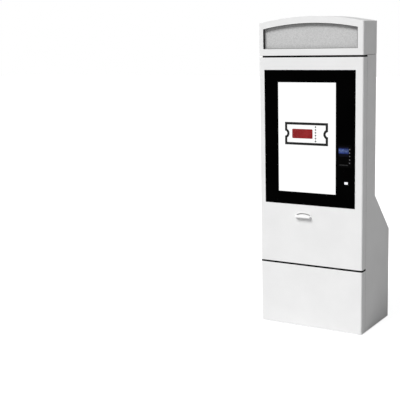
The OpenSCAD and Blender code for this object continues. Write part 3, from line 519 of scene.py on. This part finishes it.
def add_block(name, low, high):
    bpy.ops.object.select_all(action="DESELECT")
    bpy.ops.mesh.primitive_cube_add(size=1, location=(Vector(low) + Vector(high)) / 2)
    piece = new_piece(name)
    piece.scale = Vector(high) - Vector(low)
    fix_place(piece)
    return piece


def pick(piece, parts, test):
    # Enter edit mode with the faces or edges selected whose middle and way pass the test.
    # A face's way is its normal, and an edge's is its direction.
    bring_forward(piece)
    bpy.ops.object.mode_set(mode="EDIT")
    bpy.ops.mesh.select_mode(type=parts)
    bpy.ops.mesh.select_all(action="DESELECT")
    bpy.ops.object.mode_set(mode="OBJECT")
    spots = [corner.co for corner in piece.data.vertices]
    if parts == "FACE":
        for face in piece.data.polygons:
            face.select = bool(test(face.center, face.normal))
    else:
        for edge in piece.data.edges:
            start, end = (spots[i] for i in edge.vertices)
            edge.select = bool(test((start + end) / 2, (end - start).normalized()))
    bpy.ops.object.mode_set(mode="EDIT")


def done():
    bpy.ops.object.mode_set(mode="OBJECT")


def apply_modifier(piece, kind, **settings):
    bring_forward(piece)
    modifier = piece.modifiers.new(kind.lower(), kind)
    for name, value in settings.items():
        setattr(modifier, name, value)
    bpy.ops.object.modifier_apply(modifier=modifier.name)


def even_shading(piece, angle):
    # Smooth over small angles, and let the large flat faces keep their own normals
    bring_forward(piece)
    bpy.ops.object.shade_smooth_by_angle(angle=math.radians(angle))
    apply_modifier(piece, "WEIGHTED_NORMAL", keep_sharp=True)


def round_edges(piece, width, segments=2, angle=30):
    apply_modifier(piece, "BEVEL", width=width, segments=segments, limit_method="ANGLE",
                   angle_limit=math.radians(angle))
    even_shading(piece, 40)


def join(pieces, name):
    bring_forward(pieces[0])
    for piece in pieces:
        piece.select_set(True)
    bpy.ops.object.join()
    return new_piece(name)


def copy_to(piece, places, name):
    # A copy of the piece, with a mesh of its own, moved by each of the given steps
    made = []
    for step in places:
        copy = piece.copy()
        copy.data = piece.data.copy()
        scene.collection.objects.link(copy)
        copy.location = step
        fix_place(copy)
        made.append(copy)
    bpy.data.objects.remove(piece)
    return join(made, name)


def close_piece(piece, material, body, slot_name, *nodes):
    dress(piece, material)
    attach(piece, body)
    if nodes:
        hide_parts(*nodes)
    print(piece.name, "has", len(piece.data.polygons), "faces")
    return piece


# %% [markdown]
# The ticket chute and the reader's case are moulded, so their real edges are rounded. The
# engineering solids have sharp ones. Each is copied, its loose triangles are merged and
# melted into flat faces, and a bevel rounds the edges. The copy then stands for the node.


# %% Soften the moulded parts
def copy_of(node, name):
    # A free copy of a node, its loose triangles merged and melted into flat faces
    source = frame["nodes"][node]
    piece = source.copy()
    piece.data = source.data.copy()
    for key in list(piece.keys()):
        del piece[key]
    piece.parent = None
    scene.collection.objects.link(piece)
    piece.name = piece.data.name = name
    bring_forward(piece)
    bpy.ops.object.mode_set(mode="EDIT")
    bpy.ops.mesh.select_all(action="SELECT")
    bpy.ops.mesh.remove_doubles(threshold=0.01 * MM)
    bpy.ops.mesh.dissolve_limited(angle_limit=math.radians(1))
    bpy.ops.object.mode_set(mode="OBJECT")
    return piece


def softened(node, name, width, segments=3):
    piece = copy_of(node, name)
    round_edges(piece, width, segments)
    return piece


def stand_in(node, name, width, segments=3):
    slot_name = SLOT_OF[node]
    bodies = frame["record"]["behaviour"]["bodies"]
    body = next(owner for owner, nodes in bodies.items() if node in nodes)
    piece = softened(node, name, width, segments)
    return close_piece(piece, FINISH[slot_name], body, slot_name, node)


stand_in("ticket_chute", "chute_moulding", 1.2 * MM)
stand_in("reader_housing", "reader_moulding", 1.0 * MM)

# %% [markdown]
# Folded sheet has a small radius along every bend, and powder coat fills it out a little
# more. The big white panels get the same bevel, but narrower, so that a thin bright line
# runs along their edges wherever light catches them.

# %% Round the folds of the white panels
for node, name in (("header_shell", "header_casing"), ("front_door_skin", "front_door_pan"),
                   ("lower_door_skin", "lower_door_pan"), ("rear_door_skin", "rear_door_pan")):
    stand_in(node, name, 0.7 * MM, 2)

# %% [markdown]
# A black rubber seal closes each reveal round the doors' tops. It also stands in for the
# shade inside the reveal: a dark piece put where the gap would be in shade, so that the
# reveal reads black. It is a flat ring that lies on the door's upper fold, with its front
# corners rounded like the door's own. The upper ring stops a little short at the hinge side.
# A block is rounded at its two front corners, then both flat faces are inset and bridged,
# which opens the ring.


# %% Seals in the reveals, which also stand in for the reveals' shade
SEAL_INSET = 0.6 * MM
HINGE_SIDE_GAP = 22 * MM


def ring_seal_darkening_reveal(name, low, high, body):
    # Painted shade: this black ring fills the reveal where the gap would otherwise be in shade
    seal = add_block(name, low, high)
    pick(seal, "EDGE", lambda middle, way: abs(way.z) > 0.9 and middle.y < low.y + MM)
    bpy.ops.mesh.bevel(offset=9 * MM, segments=6)
    done()
    pick(seal, "FACE", lambda middle, way: abs(way.z) > 0.9)
    bpy.ops.mesh.inset(thickness=8 * MM)
    bpy.ops.mesh.bridge_edge_loops()
    done()
    round_edges(seal, 0.3 * MM, 2)
    return close_piece(seal, epdm, body, "rubber")


door_low, door_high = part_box("front_door_skin")
lower_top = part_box("lower_door_skin")[1].z
header_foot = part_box("header_shell")[0].z
for name, body, foot, head, left in (
        ("header_seal", "front_door", door_high.z, header_foot, HINGE_SIDE_GAP),
        ("lower_door_seal", "lower_door", lower_top, door_low.z, SEAL_INSET)):
    ring_seal_darkening_reveal(name, Vector((door_low.x + left, door_low.y + SEAL_INSET, foot + 0.05 * MM)),
              Vector((door_high.x - SEAL_INSET, door_high.y - MM, head - 0.2 * MM)), body)

# %% [markdown]
# A thin strip of the same black rubber is stuck to each side panel's front fold, where the
# doors close against it. From the side it shows as a fine dark line between door and
# cabinet: it stands in for the shade inside the seam, a dark piece put where the gap would be
# in shade. Each strip is a thin block with its long edges rounded over, narrow enough for
# the latch's strikers to pass inside it.

# %% Strips the doors close against, which also stand in for the seam's shade
SEAM_SHADE_STRIP_W = 11 * MM
for hand, side in (("left", -1), ("right", 1)):
    panel_low, panel_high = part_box(hand + "_side_panel")
    outer = max(abs(panel_low.x), abs(panel_high.x)) - SEAL_INSET
    ends = sorted((side * outer, side * (outer - SEAM_SHADE_STRIP_W)))
    # Painted shade: this black strip fills the seam where the gap would otherwise be in shade
    strip = add_block(hand + "_closing_strip_and_seam_shade", (ends[0], panel_low.y - 1.3 * MM, panel_low.z + MM),
                      (ends[1], panel_low.y - 0.05 * MM, panel_high.z - MM))
    round_edges(strip, 0.3 * MM, 2)
    close_piece(strip, epdm, "cabinet", "rubber")

# %% [markdown]
# The vents at the back are slots with a pressed hood over each, so that rain runs past
# them. One hood is a block with its back and underside taken away and its outer edges
# rolled round, given the thickness of sheet. It is copied down each column.


# %% Louvre hoods over the vents
HOOD_OUT, VENT_PITCH = 5 * MM, 14 * MM
DOOR_VENT_X, DOOR_VENT_W, DOOR_VENT_Z = 128.16 * MM, 170 * MM, 479 * MM
BACK_VENT_X, BACK_VENT_W, BACK_VENT_Z = 142.4 * MM, 188 * MM, 993 * MM


def louvre_columns(name, columns, width, face_y, middle_z, count, body):
    low = Vector((-width / 2, face_y + 0.1 * MM, -3 * MM))
    high = Vector((width / 2, face_y + HOOD_OUT, 6 * MM))
    hood = add_block(name, low, high)
    pick(hood, "FACE", lambda middle, way: way.y < -0.9 or way.z < -0.9)
    bpy.ops.mesh.delete(type="FACE")
    done()
    pick(hood, "EDGE", lambda middle, way: middle.y > high.y - MM and middle.z > low.z + MM)
    bpy.ops.mesh.bevel(offset=3.5 * MM, segments=3)
    done()
    apply_modifier(hood, "SOLIDIFY", thickness=1.2 * MM, offset=-1)
    even_shading(hood, 40)
    steps = [(x, 0, middle_z + (i - (count - 1) / 2) * VENT_PITCH)
             for x in columns for i in range(count)]
    return close_piece(copy_to(hood, steps, name), white_coat, body, "white_powder_coat")


louvre_columns("rear_door_louvres", (-DOOR_VENT_X, DOOR_VENT_X), DOOR_VENT_W,
               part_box("rear_door_skin")[1].y, DOOR_VENT_Z, 8, "rear_door")
louvre_columns("back_panel_louvres", (-BACK_VENT_X, BACK_VENT_X), BACK_VENT_W,
               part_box("upper_back_panel")[1].y, BACK_VENT_Z, 9, "cabinet")

# %% [markdown]
# The fan's guard is welded from round wire: four rings that rise towards the middle, and
# two spokes that come down to the panel at the corners of the fan, where a small eye takes
# the screw. A spoke starts as a thin rod whose two ends are extruded down and outwards.

# %% The fan's wire guard
WIRE_R = 1.1 * MM
guard_low, guard_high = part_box("fan_guard")
guard_middle = (guard_low + guard_high) / 2
guard_middle.y = guard_low.y + WIRE_R
EYE_OUT = 74 * MM
wires = []
for radius, rise in ((15, 5.5), (29, 5), (43, 4), (57, 2.2)):
    bpy.ops.object.select_all(action="DESELECT")
    bpy.ops.mesh.primitive_torus_add(
        major_radius=radius * MM, minor_radius=WIRE_R, major_segments=48, minor_segments=8,
        location=guard_middle + Vector((0, rise * MM, 0)), rotation=(math.pi / 2, 0, 0))
    wires.append(new_piece("guard_ring"))
for turn in (45, 135):
    bpy.ops.object.select_all(action="DESELECT")
    bpy.ops.mesh.primitive_cylinder_add(vertices=8, radius=WIRE_R, depth=90 * MM,
                                        rotation=(0, math.pi / 2, 0),
                                        location=guard_middle + Vector((0, 5 * MM, 0)))
    spoke = new_piece("guard_spoke")
    fix_place(spoke)
    for out, down in ((58, 2.5), (EYE_OUT / MM - 4, 2.5)):
        reach = max(abs(corner.co.x - guard_middle.x) for corner in spoke.data.vertices)
        pick(spoke, "FACE", lambda middle, way: abs(middle.x - guard_middle.x) > reach - 1e-5)
        bpy.ops.mesh.extrude_region_move()
        bpy.ops.transform.translate(value=(0, -down * MM, 0))
        bpy.ops.transform.resize(value=(out * MM / reach, 1, 1),
                                 center_override=guard_middle)
        done()
    for side in (-1, 1):
        bpy.ops.object.select_all(action="DESELECT")
        bpy.ops.mesh.primitive_torus_add(
            major_radius=4 * MM, minor_radius=WIRE_R, major_segments=20, minor_segments=8,
            location=guard_middle + Vector((side * EYE_OUT, 0, 0)),
            rotation=(math.pi / 2, 0, 0))
        eye = new_piece("guard_eye")
        fix_place(eye)
        spoke = join([spoke, eye], "guard_spoke")
    pick(spoke, "FACE", lambda middle, way: True)
    bpy.ops.transform.rotate(value=math.radians(turn), orient_axis="Y",
                             center_override=guard_middle)
    done()
    wires.append(spoke)
for wire in wires:
    fix_place(wire)
guard = join(wires, "fan_wire_guard")
even_shading(guard, 60)
close_piece(guard, zinc, "cabinet", SLOT_OF["fan_guard"], "fan_guard")

# %% [markdown]
# The rear door's handle is a die casting: a round rose, a tapered grip that hangs from it,
# and a lock plug in its middle with a slot for the key. Behind the door a shaft carries the
# flat tongue. Each part is a turned or drawn start that is tapered and rounded.

# %% The rear door's handle
handle_low, handle_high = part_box("rear_handle")
rear_low, rear_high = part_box("rear_door_skin")
HANDLE = Vector(((handle_low.x + handle_high.x) / 2, rear_high.y,
                 (rear_low.z + rear_high.z) / 2))


def turned(name, middle, radius, depth, axis_turn, edge):
    bpy.ops.object.select_all(action="DESELECT")
    bpy.ops.mesh.primitive_cylinder_add(vertices=32, radius=radius, depth=depth,
                                        location=middle, rotation=axis_turn)
    piece = new_piece(name)
    fix_place(piece)
    round_edges(piece, edge, 3)
    return piece


ALONG_Y = (math.pi / 2, 0, 0)
rose = turned("rose", HANDLE + Vector((0, 3.6 * MM, 0)), 18 * MM, 7 * MM, ALONG_Y, 2.5 * MM)
shaft = turned("shaft", HANDLE + Vector((0, -10 * MM, 0)), 6.9 * MM, 30 * MM, ALONG_Y,
               0.5 * MM)
grip = add_block("grip", HANDLE + Vector((-9, 7, -95)) * MM, HANDLE + Vector((9, 22, 18)) * MM)
pick(grip, "FACE", lambda middle, way: way.z < -0.9)
bpy.ops.transform.resize(value=(0.72, 0.6, 1),
                         center_override=HANDLE + Vector((0, 7, -95)) * MM)
done()
round_edges(grip, 4 * MM, 4)
tongue = add_block("tongue", (HANDLE.x - 9 * MM, handle_low.y, HANDLE.z - 9 * MM),
                   (HANDLE.x + 9 * MM, handle_low.y + 4 * MM, handle_high.z))
pick(tongue, "EDGE", lambda middle, way: abs(way.y) > 0.9)
bpy.ops.mesh.bevel(offset=5 * MM, segments=4)
done()
plug = turned("plug", HANDLE + Vector((0, 21 * MM, 0)), 6.5 * MM, 3.5 * MM, ALONG_Y,
              0.8 * MM)
key_way = add_block("key_way", HANDLE + Vector((-0.9, 20, -4)) * MM,
                    HANDLE + Vector((0.9, 24, 4)) * MM)
apply_modifier(plug, "BOOLEAN", object=key_way, operation="DIFFERENCE", solver="EXACT")
bpy.data.objects.remove(key_way)
handle = join([grip, rose, shaft, tongue, plug], "rear_handle_casting")
close_piece(handle, zinc, "rear_lock", SLOT_OF["rear_handle"], "rear_handle")

# %% [markdown]
# Every hinge leaf is held by three screws with low round heads and a drive socket. One
# head is made lying on its back: a short cylinder, its edge rounded, its flat face inset
# and pushed in. It is copied to every place, and each hinge's screws ride with their leaf.

# %% Screws in the hinge leaves
LEAF_HALF, LEAF_T, SCREW_GAP = 15.4 * MM, 2 * MM, 28 * MM
HINGE_FROM_END = 102 * MM
PIN_R = 2.5 * MM


def screw_head(facing):
    bpy.ops.object.select_all(action="DESELECT")
    turn = (math.pi / 2, 0, 0) if facing.y else (0, math.pi / 2, 0)
    bpy.ops.mesh.primitive_cylinder_add(vertices=12, radius=4 * MM, depth=1.8 * MM,
                                        location=facing * 0.85 * MM, rotation=turn)
    head = new_piece("screw_head")
    fix_place(head)
    pick(head, "FACE", lambda middle, way: way.dot(facing) > 0.9)
    bpy.ops.mesh.inset(thickness=0.9 * MM)
    bpy.ops.mesh.inset(thickness=1.2 * MM)
    bpy.ops.transform.translate(value=facing * -1.0 * MM)
    done()
    pick(head, "EDGE", lambda middle, way: abs(way.dot(facing)) < 0.1
         and middle.dot(facing) > 1.7 * MM and (middle - middle.dot(facing) * facing).length
         > 3.5 * MM)
    bpy.ops.mesh.bevel(offset=0.8 * MM, segments=2)
    done()
    return head


def leaf_screws(name, places, facing, body):
    head = screw_head(facing)
    steps = [place + Vector((0, 0, up)) for place in places
             for up in (-SCREW_GAP, 0, SCREW_GAP)]
    close_piece(copy_to(head, steps, name), bright_zinc, body, "screw_steel")


def hinge_middles(low_z, high_z, count):
    first = low_z + HINGE_FROM_END
    span = high_z - low_z - 2 * HINGE_FROM_END
    return [first + i * span / (count - 1) for i in range(count)]


front_z = hinge_middles(door_low.z, door_high.z, 3)
lower_z = hinge_middles(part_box("lower_door_skin")[0].z, lower_top, 2)
rear_z = hinge_middles(rear_low.z, rear_high.z, 2)
pin_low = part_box("hinge_pins")[0]
front_pin_y = pin_low.y + PIN_R
rear_pin_x = rear_low.x - 1.5 * MM
leaf_face_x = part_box("left_side_panel")[0].x - LEAF_T
leaf_face_y = rear_high.y + LEAF_T
LEFT, BACK = Vector((-1, 0, 0)), Vector((0, 1, 0))
leaf_screws("fixed_front_leaf_screws",
            [Vector((leaf_face_x, front_pin_y + LEAF_HALF, z)) for z in front_z + lower_z],
            LEFT, "cabinet")
leaf_screws("front_door_leaf_screws",
            [Vector((leaf_face_x, front_pin_y - LEAF_HALF, z)) for z in front_z],
            LEFT, "front_door")
leaf_screws("lower_door_leaf_screws",
            [Vector((leaf_face_x, front_pin_y - LEAF_HALF, z)) for z in lower_z],
            LEFT, "lower_door")
leaf_screws("fixed_rear_leaf_screws",
            [Vector((rear_pin_x - LEAF_HALF, leaf_face_y, z)) for z in rear_z],
            BACK, "cabinet")
leaf_screws("rear_door_leaf_screws",
            [Vector((rear_pin_x + LEAF_HALF, leaf_face_y, z)) for z in rear_z],
            BACK, "rear_door")

# %% [markdown]
# A rubber edging lines the header's window, so that no cut edge of sheet shows. It follows
# the arch, and the black frame behind already has that shape: the frame's inner walls are
# copied, drawn together at the front of the opening, and given the edging's thickness.

# %% The edging round the header's window
EDGING_D, EDGING_T = 4 * MM, 2.2 * MM
window_low, window_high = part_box("sign_frame")
header_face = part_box("header_shell")[0].y
edging = copy_of("sign_frame", "window_edging")
window_middle = (window_low + window_high) / 2
pick(edging, "FACE", lambda middle, way: abs(way.y) > 0.5 or way.dot(
    Vector((window_middle.x - middle.x, 0, window_middle.z - middle.z))) <= 0)
bpy.ops.mesh.delete(type="FACE")
done()
depth = window_high.y - window_low.y
pick(edging, "FACE", lambda middle, way: True)
bpy.ops.transform.resize(value=(1, EDGING_D / depth, 1),
                         center_override=(0, window_low.y, 0))
bpy.ops.transform.translate(value=(0, header_face - 0.3 * MM - window_low.y, 0))
done()
apply_modifier(edging, "SOLIDIFY", thickness=EDGING_T, offset=1)
even_shading(edging, 40)
close_piece(edging, edge_rubber, "cabinet", "rubber")

# %% [markdown]
# The card reader's face carries small trims: a raised frame round its display, a lip round
# the card slot, and a printed mark on each key. A trim starts as a thin block whose front
# is inset and pushed back in, which leaves a raised rim.

# %% Trims on the card reader
reader_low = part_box("reader_housing")[0]
panel_low, panel_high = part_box("reader_display")


def rimmed_block(name, low, high, rim, sink):
    block = add_block(name, low, high)
    pick(block, "FACE", lambda middle, way: way.y < -0.9)
    bpy.ops.mesh.inset(thickness=rim)
    bpy.ops.mesh.extrude_region_move()
    bpy.ops.transform.translate(value=(0, sink, 0))
    done()
    return block


card_x, card_z = reader_low.x + 45 * MM, reader_low.z + 15 * MM
card_mouth = rimmed_block("card_slot_lip",
                          (card_x - 33 * MM, reader_low.y - 1.5 * MM, card_z - 3.5 * MM),
                          (card_x + 25 * MM, reader_low.y + 0.5 * MM, card_z + 3.5 * MM),
                          1.8 * MM, 1.6 * MM)
round_edges(card_mouth, 0.4 * MM, 2)
close_piece(card_mouth, trim_plastic, "front_door", "reader_plastic")

frame_low = Vector((panel_low.x - 2 * MM, reader_low.y - 0.6 * MM, panel_low.z - 2 * MM))
frame_high = Vector((panel_high.x + 2 * MM, reader_low.y + 0.2 * MM, panel_high.z + 2 * MM))
panel_frame = add_block("reader_panel_frame", frame_low, frame_high)
pick(panel_frame, "FACE", lambda middle, way: abs(way.y) > 0.9)
bpy.ops.mesh.inset(thickness=1.9 * MM)
bpy.ops.mesh.bridge_edge_loops()
done()
round_edges(panel_frame, 0.2 * MM, 2)
close_piece(panel_frame, reader_plastic, "front_door", "reader_plastic")


def key_mark(number, corners, turn, bar):
    # A printed mark: a thin disc with few corners, or a bar, on the key's face
    low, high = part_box("reader_key_%d" % number)
    middle = Vector(((low.x + high.x) / 2, low.y - 0.05 * MM, (low.z + high.z) / 2))
    bpy.ops.object.select_all(action="DESELECT")
    bpy.ops.mesh.primitive_cylinder_add(vertices=corners, radius=2.6 * MM, depth=0.2 * MM,
                                        location=middle,
                                        rotation=(math.pi / 2, math.radians(turn), 0))
    mark = new_piece("key_mark_%d" % number)
    fix_place(mark)
    pick(mark, "FACE", lambda where, way: True)
    bpy.ops.transform.resize(value=(1, 1, bar), center_override=middle)
    done()
    round_edges(mark, 0.05 * MM, 1)
    close_piece(mark, mark_ink, "key_%d" % number, "key_plastic")


for number, corners, turn, bar in ((1, 4, 0, 1), (2, 20, 0, 1), (3, 3, 0, 1),
                                   (4, 3, 180, 1), (5, 4, 45, 0.35)):
    key_mark(number, corners, turn, bar)

# %% [markdown]
# Paper runs from the back of the roll, over the printer's motor, and down between the print
# head and the rubber roller towards the chute. A flat strip is drawn out edge by edge along
# that path. Real stock is 0.08 mm thick, and it is given 0.3 mm so that it has two faces.

# %% The paper's way through the printer
roll_low, roll_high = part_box("paper_roll")
roller_low, roller_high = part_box("platen_roller")
web_x = (roll_low.x + 1 * MM, roll_high.x - 1 * MM)
nip_z = (roller_low.z + roller_high.z) / 2 + 8.3 * MM
PATH = [(roll_high.y + 0.4 * MM, (roll_low.z + roll_high.z) / 2), (-0.1006, 0.720),
        (-0.1010, 0.748), (-0.1040, 0.758), (-0.1110, 0.7635), (-0.1300, 0.7655),
        (-0.1480, 0.7650), (-0.1600, 0.7618), (-0.1665, 0.7580), (-0.1700, nip_z),
        (-0.1950, nip_z), (-0.2220, nip_z + 1.2 * MM)]
bpy.ops.object.select_all(action="DESELECT")
bpy.ops.mesh.primitive_plane_add(size=1, location=(sum(web_x) / 2, PATH[0][0], PATH[0][1]))
web = new_piece("paper_web")
web.scale = (web_x[1] - web_x[0], 0.1 * MM, 1)
fix_place(web)
pick(web, "EDGE", lambda middle, way: abs(way.x) > 0.9 and middle.y > PATH[0][0])
for (y, z), (next_y, next_z) in zip(PATH, PATH[1:]):
    bpy.ops.mesh.extrude_region_move()
    bpy.ops.transform.translate(value=(0, next_y - y, next_z - z))
done()
apply_modifier(web, "SOLIDIFY", thickness=0.3 * MM, offset=0)
even_shading(web, 60)
close_piece(web, paper, "front_door", "ticket_paper")

# %% [markdown]
# The computer's front has a row of sockets, each a plated shell with a dark mouth. The
# power supply has a strip of screw terminals between low walls. Both start as a block whose
# front is divided, inset face by face, and pushed in.

# %% Sockets and terminals
computer_low, computer_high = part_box("computer")
socket_z = (computer_low.z + computer_high.z) / 2 - 4 * MM
shells = []
for left, width, tall in ((20, 15, 7), (42, 15, 7), (64, 15, 7), (90, 17, 14), (114, 17, 14),
                          (145, 20, 7), (178, 12, 12)):
    low = Vector((computer_low.x + left * MM, computer_low.y - 1.5 * MM, socket_z))
    shells.append(rimmed_block("socket", low, low + Vector((width, 2.0, tall)) * MM,
                               0.8 * MM, 1.2 * MM))
sockets = join(shells, "computer_sockets")
round_edges(sockets, 0.2 * MM, 1)
close_piece(sockets, bright_zinc, "cabinet", "screw_steel")

supply_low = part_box("power_supply")[0]
strip = add_block("supply_terminals",
                  (supply_low.x + 12 * MM, supply_low.y - 13 * MM, supply_low.z + 8 * MM),
                  (supply_low.x + 112 * MM, supply_low.y + 0.2 * MM, supply_low.z + 20 * MM))
pick(strip, "EDGE", lambda middle, way: abs(way.x) > 0.9)
bpy.ops.mesh.subdivide(number_cuts=8)
done()
pick(strip, "FACE", lambda middle, way: way.z > 0.9)
bpy.ops.mesh.inset(thickness=1.4 * MM, use_individual=True)
bpy.ops.mesh.extrude_region_move()
bpy.ops.transform.translate(value=(0, 0, -5 * MM))
done()
round_edges(strip, 0.3 * MM, 1)
close_piece(strip, spindle_plastic, "cabinet", SLOT_OF["roll_spindle"])

# %% [markdown]
# The display's picture is a sheet just behind the face of the glass. It shows plain white,
# with a generic ticket in the middle: a slip with a thick dark outline, a dark red bar, a
# round notch at each end and a row of small holes where it tears. The notches and holes are
# cut with a boolean, the way a punch would cut them.

# %% The picture on the display
glass_low, glass_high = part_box("touch_glass")
PICTURE_FACE = glass_high.y - 0.6 * MM
sheet = add_block("display_picture", (glass_low.x, PICTURE_FACE, glass_low.z),
                  (glass_high.x, glass_high.y - 0.1 * MM, glass_high.z))
bring_forward(sheet)
bpy.ops.object.mode_set(mode="EDIT")
bpy.ops.mesh.select_all(action="SELECT")
bpy.ops.mesh.subdivide(number_cuts=2)
bpy.ops.object.mode_set(mode="OBJECT")
close_piece(sheet, white_glow, "front_door", "display_panel")

TICKET_MIDDLE = Vector((-0.026, PICTURE_FACE, 1.272))
TICKET_W, TICKET_H = 0.266, 0.112


def ticket_slip(name, grow, front, back):
    half = Vector((TICKET_W / 2 + grow, 0, TICKET_H / 2 + grow))
    slip = add_block(name, TICKET_MIDDLE - half + Vector((0, front, 0)),
                     TICKET_MIDDLE + half + Vector((0, back, 0)))
    round_edges(slip, 0.01 * MM, 1)
    return slip


def punch(slip, places, radius):
    for x, z in places:
        bpy.ops.object.select_all(action="DESELECT")
        bpy.ops.mesh.primitive_cylinder_add(
            vertices=32, radius=radius, depth=0.02, rotation=(math.pi / 2, 0, 0),
            location=TICKET_MIDDLE + Vector((x, 0, z)))
        cutter = new_piece("cutter")
        fix_place(cutter)
        apply_modifier(slip, "BOOLEAN", object=cutter, operation="DIFFERENCE",
                       solver="EXACT")
        bpy.data.objects.remove(cutter)


EDGE = 16 * MM
outline = ticket_slip("picture_ticket_outline", EDGE, -0.5 * MM, -0.1 * MM)
punch(outline, [(-TICKET_W / 2 - EDGE, 0), (TICKET_W / 2 + EDGE, 0)], 16 * MM)
field = ticket_slip("picture_ticket_field", 0, -0.9 * MM, -0.4 * MM)
punch(field, [(-TICKET_W / 2 - EDGE, 0), (TICKET_W / 2 + EDGE, 0)], 16 * MM + EDGE)
punch(field, [(0.064, -0.045 + 0.018 * i) for i in range(6)], 5 * MM)
bar = add_block("picture_ticket_bar", TICKET_MIDDLE + Vector((-0.098, -1.3 * MM, -0.030)),
                TICKET_MIDDLE + Vector((0.044, -0.8 * MM, 0.030)))
pick(bar, "EDGE", lambda middle, way: abs(way.y) > 0.9)
bpy.ops.mesh.bevel(offset=6 * MM, segments=4)
done()
dark_glow = glow("dark ink on the display", "#070707", "#0B0B0B", 60, 1.0)
red_glow = glow("dark red ink on the display", "#86090E", "#921217", 60, 1.0)
close_piece(outline, dark_glow, "front_door", "display_panel")
close_piece(field, white_glow, "front_door", "display_panel")
close_piece(bar, red_glow, "front_door", "display_panel")

# %% [markdown]
# The studio is plain: a pale floor that runs out of sight, a bright sky of even light, and
# one broad lamp in front of the machine and to its left. The front faces take most of that
# lamp's light, and the right side is left in half shade, which shows the cabinet's form.

# %% Floor and light
FLOOR_SIZE = 60


def pale_floor():
    material, tree, place = start_material("pale studio floor")
    cloud = add_node(tree, "TexNoise", {"Vector": place, "Scale": 1 / 0.8})
    colour = add_node(tree, "MixRGB", {"Fac": cloud.outputs["Fac"], "Color1": linear("#C2C2C2"),
                                       "Color2": linear("#C8C8C8")})
    path = add_node(tree, "LightPath")
    seen = add_node(tree, "Math", {0: path.outputs["Is Camera Ray"], 1: 0.85},
                    operation="MULTIPLY")
    shader = add_node(tree, "BsdfPrincipled", {
        "Base Color": colour.outputs[0], "Roughness": 0.8, "Specular IOR Level": 0.1,
        "Emission Color": linear("#FFFFFF"), "Emission Strength": seen.outputs[0]})
    close_material(tree, shader)
    return material


bpy.ops.object.select_all(action="DESELECT")
bpy.ops.mesh.primitive_plane_add(size=FLOOR_SIZE, location=(0, 0, 0))
floor = new_piece("floor")
dress(floor, pale_floor())

SKY_LIGHT = 0.27
SUN_STRENGTH = 2.84
SUN_WAY = Vector((0.27, 0.66, -0.70))
SUN_BREADTH = 26  # degrees


def light_sky():
    world = bpy.data.worlds.new("studio")
    scene.world = world
    world.use_nodes = True
    tree = world.node_tree
    tree.nodes.clear()
    path = add_node(tree, "LightPath")
    seen = add_node(tree, "MapRange", {"Value": path.outputs["Is Camera Ray"],
                                       "To Min": SKY_LIGHT, "To Max": 1.0})
    sky = add_node(tree, "Background", {"Color": linear("#FFFFFF"),
                                        "Strength": seen.outputs[0]})
    add_node(tree, "OutputWorld", {"Surface": sky.outputs[0]})


light_sky()
lamp = bpy.data.lights.new("key", "SUN")
lamp.energy = SUN_STRENGTH
lamp.angle = math.radians(SUN_BREADTH)
key = bpy.data.objects.new("key", lamp)
key.rotation_euler = SUN_WAY.to_track_quat("-Z", "Y").to_euler()
scene.collection.objects.link(key)
scene.view_settings.view_transform = "Standard"
scene.view_settings.look = "None"
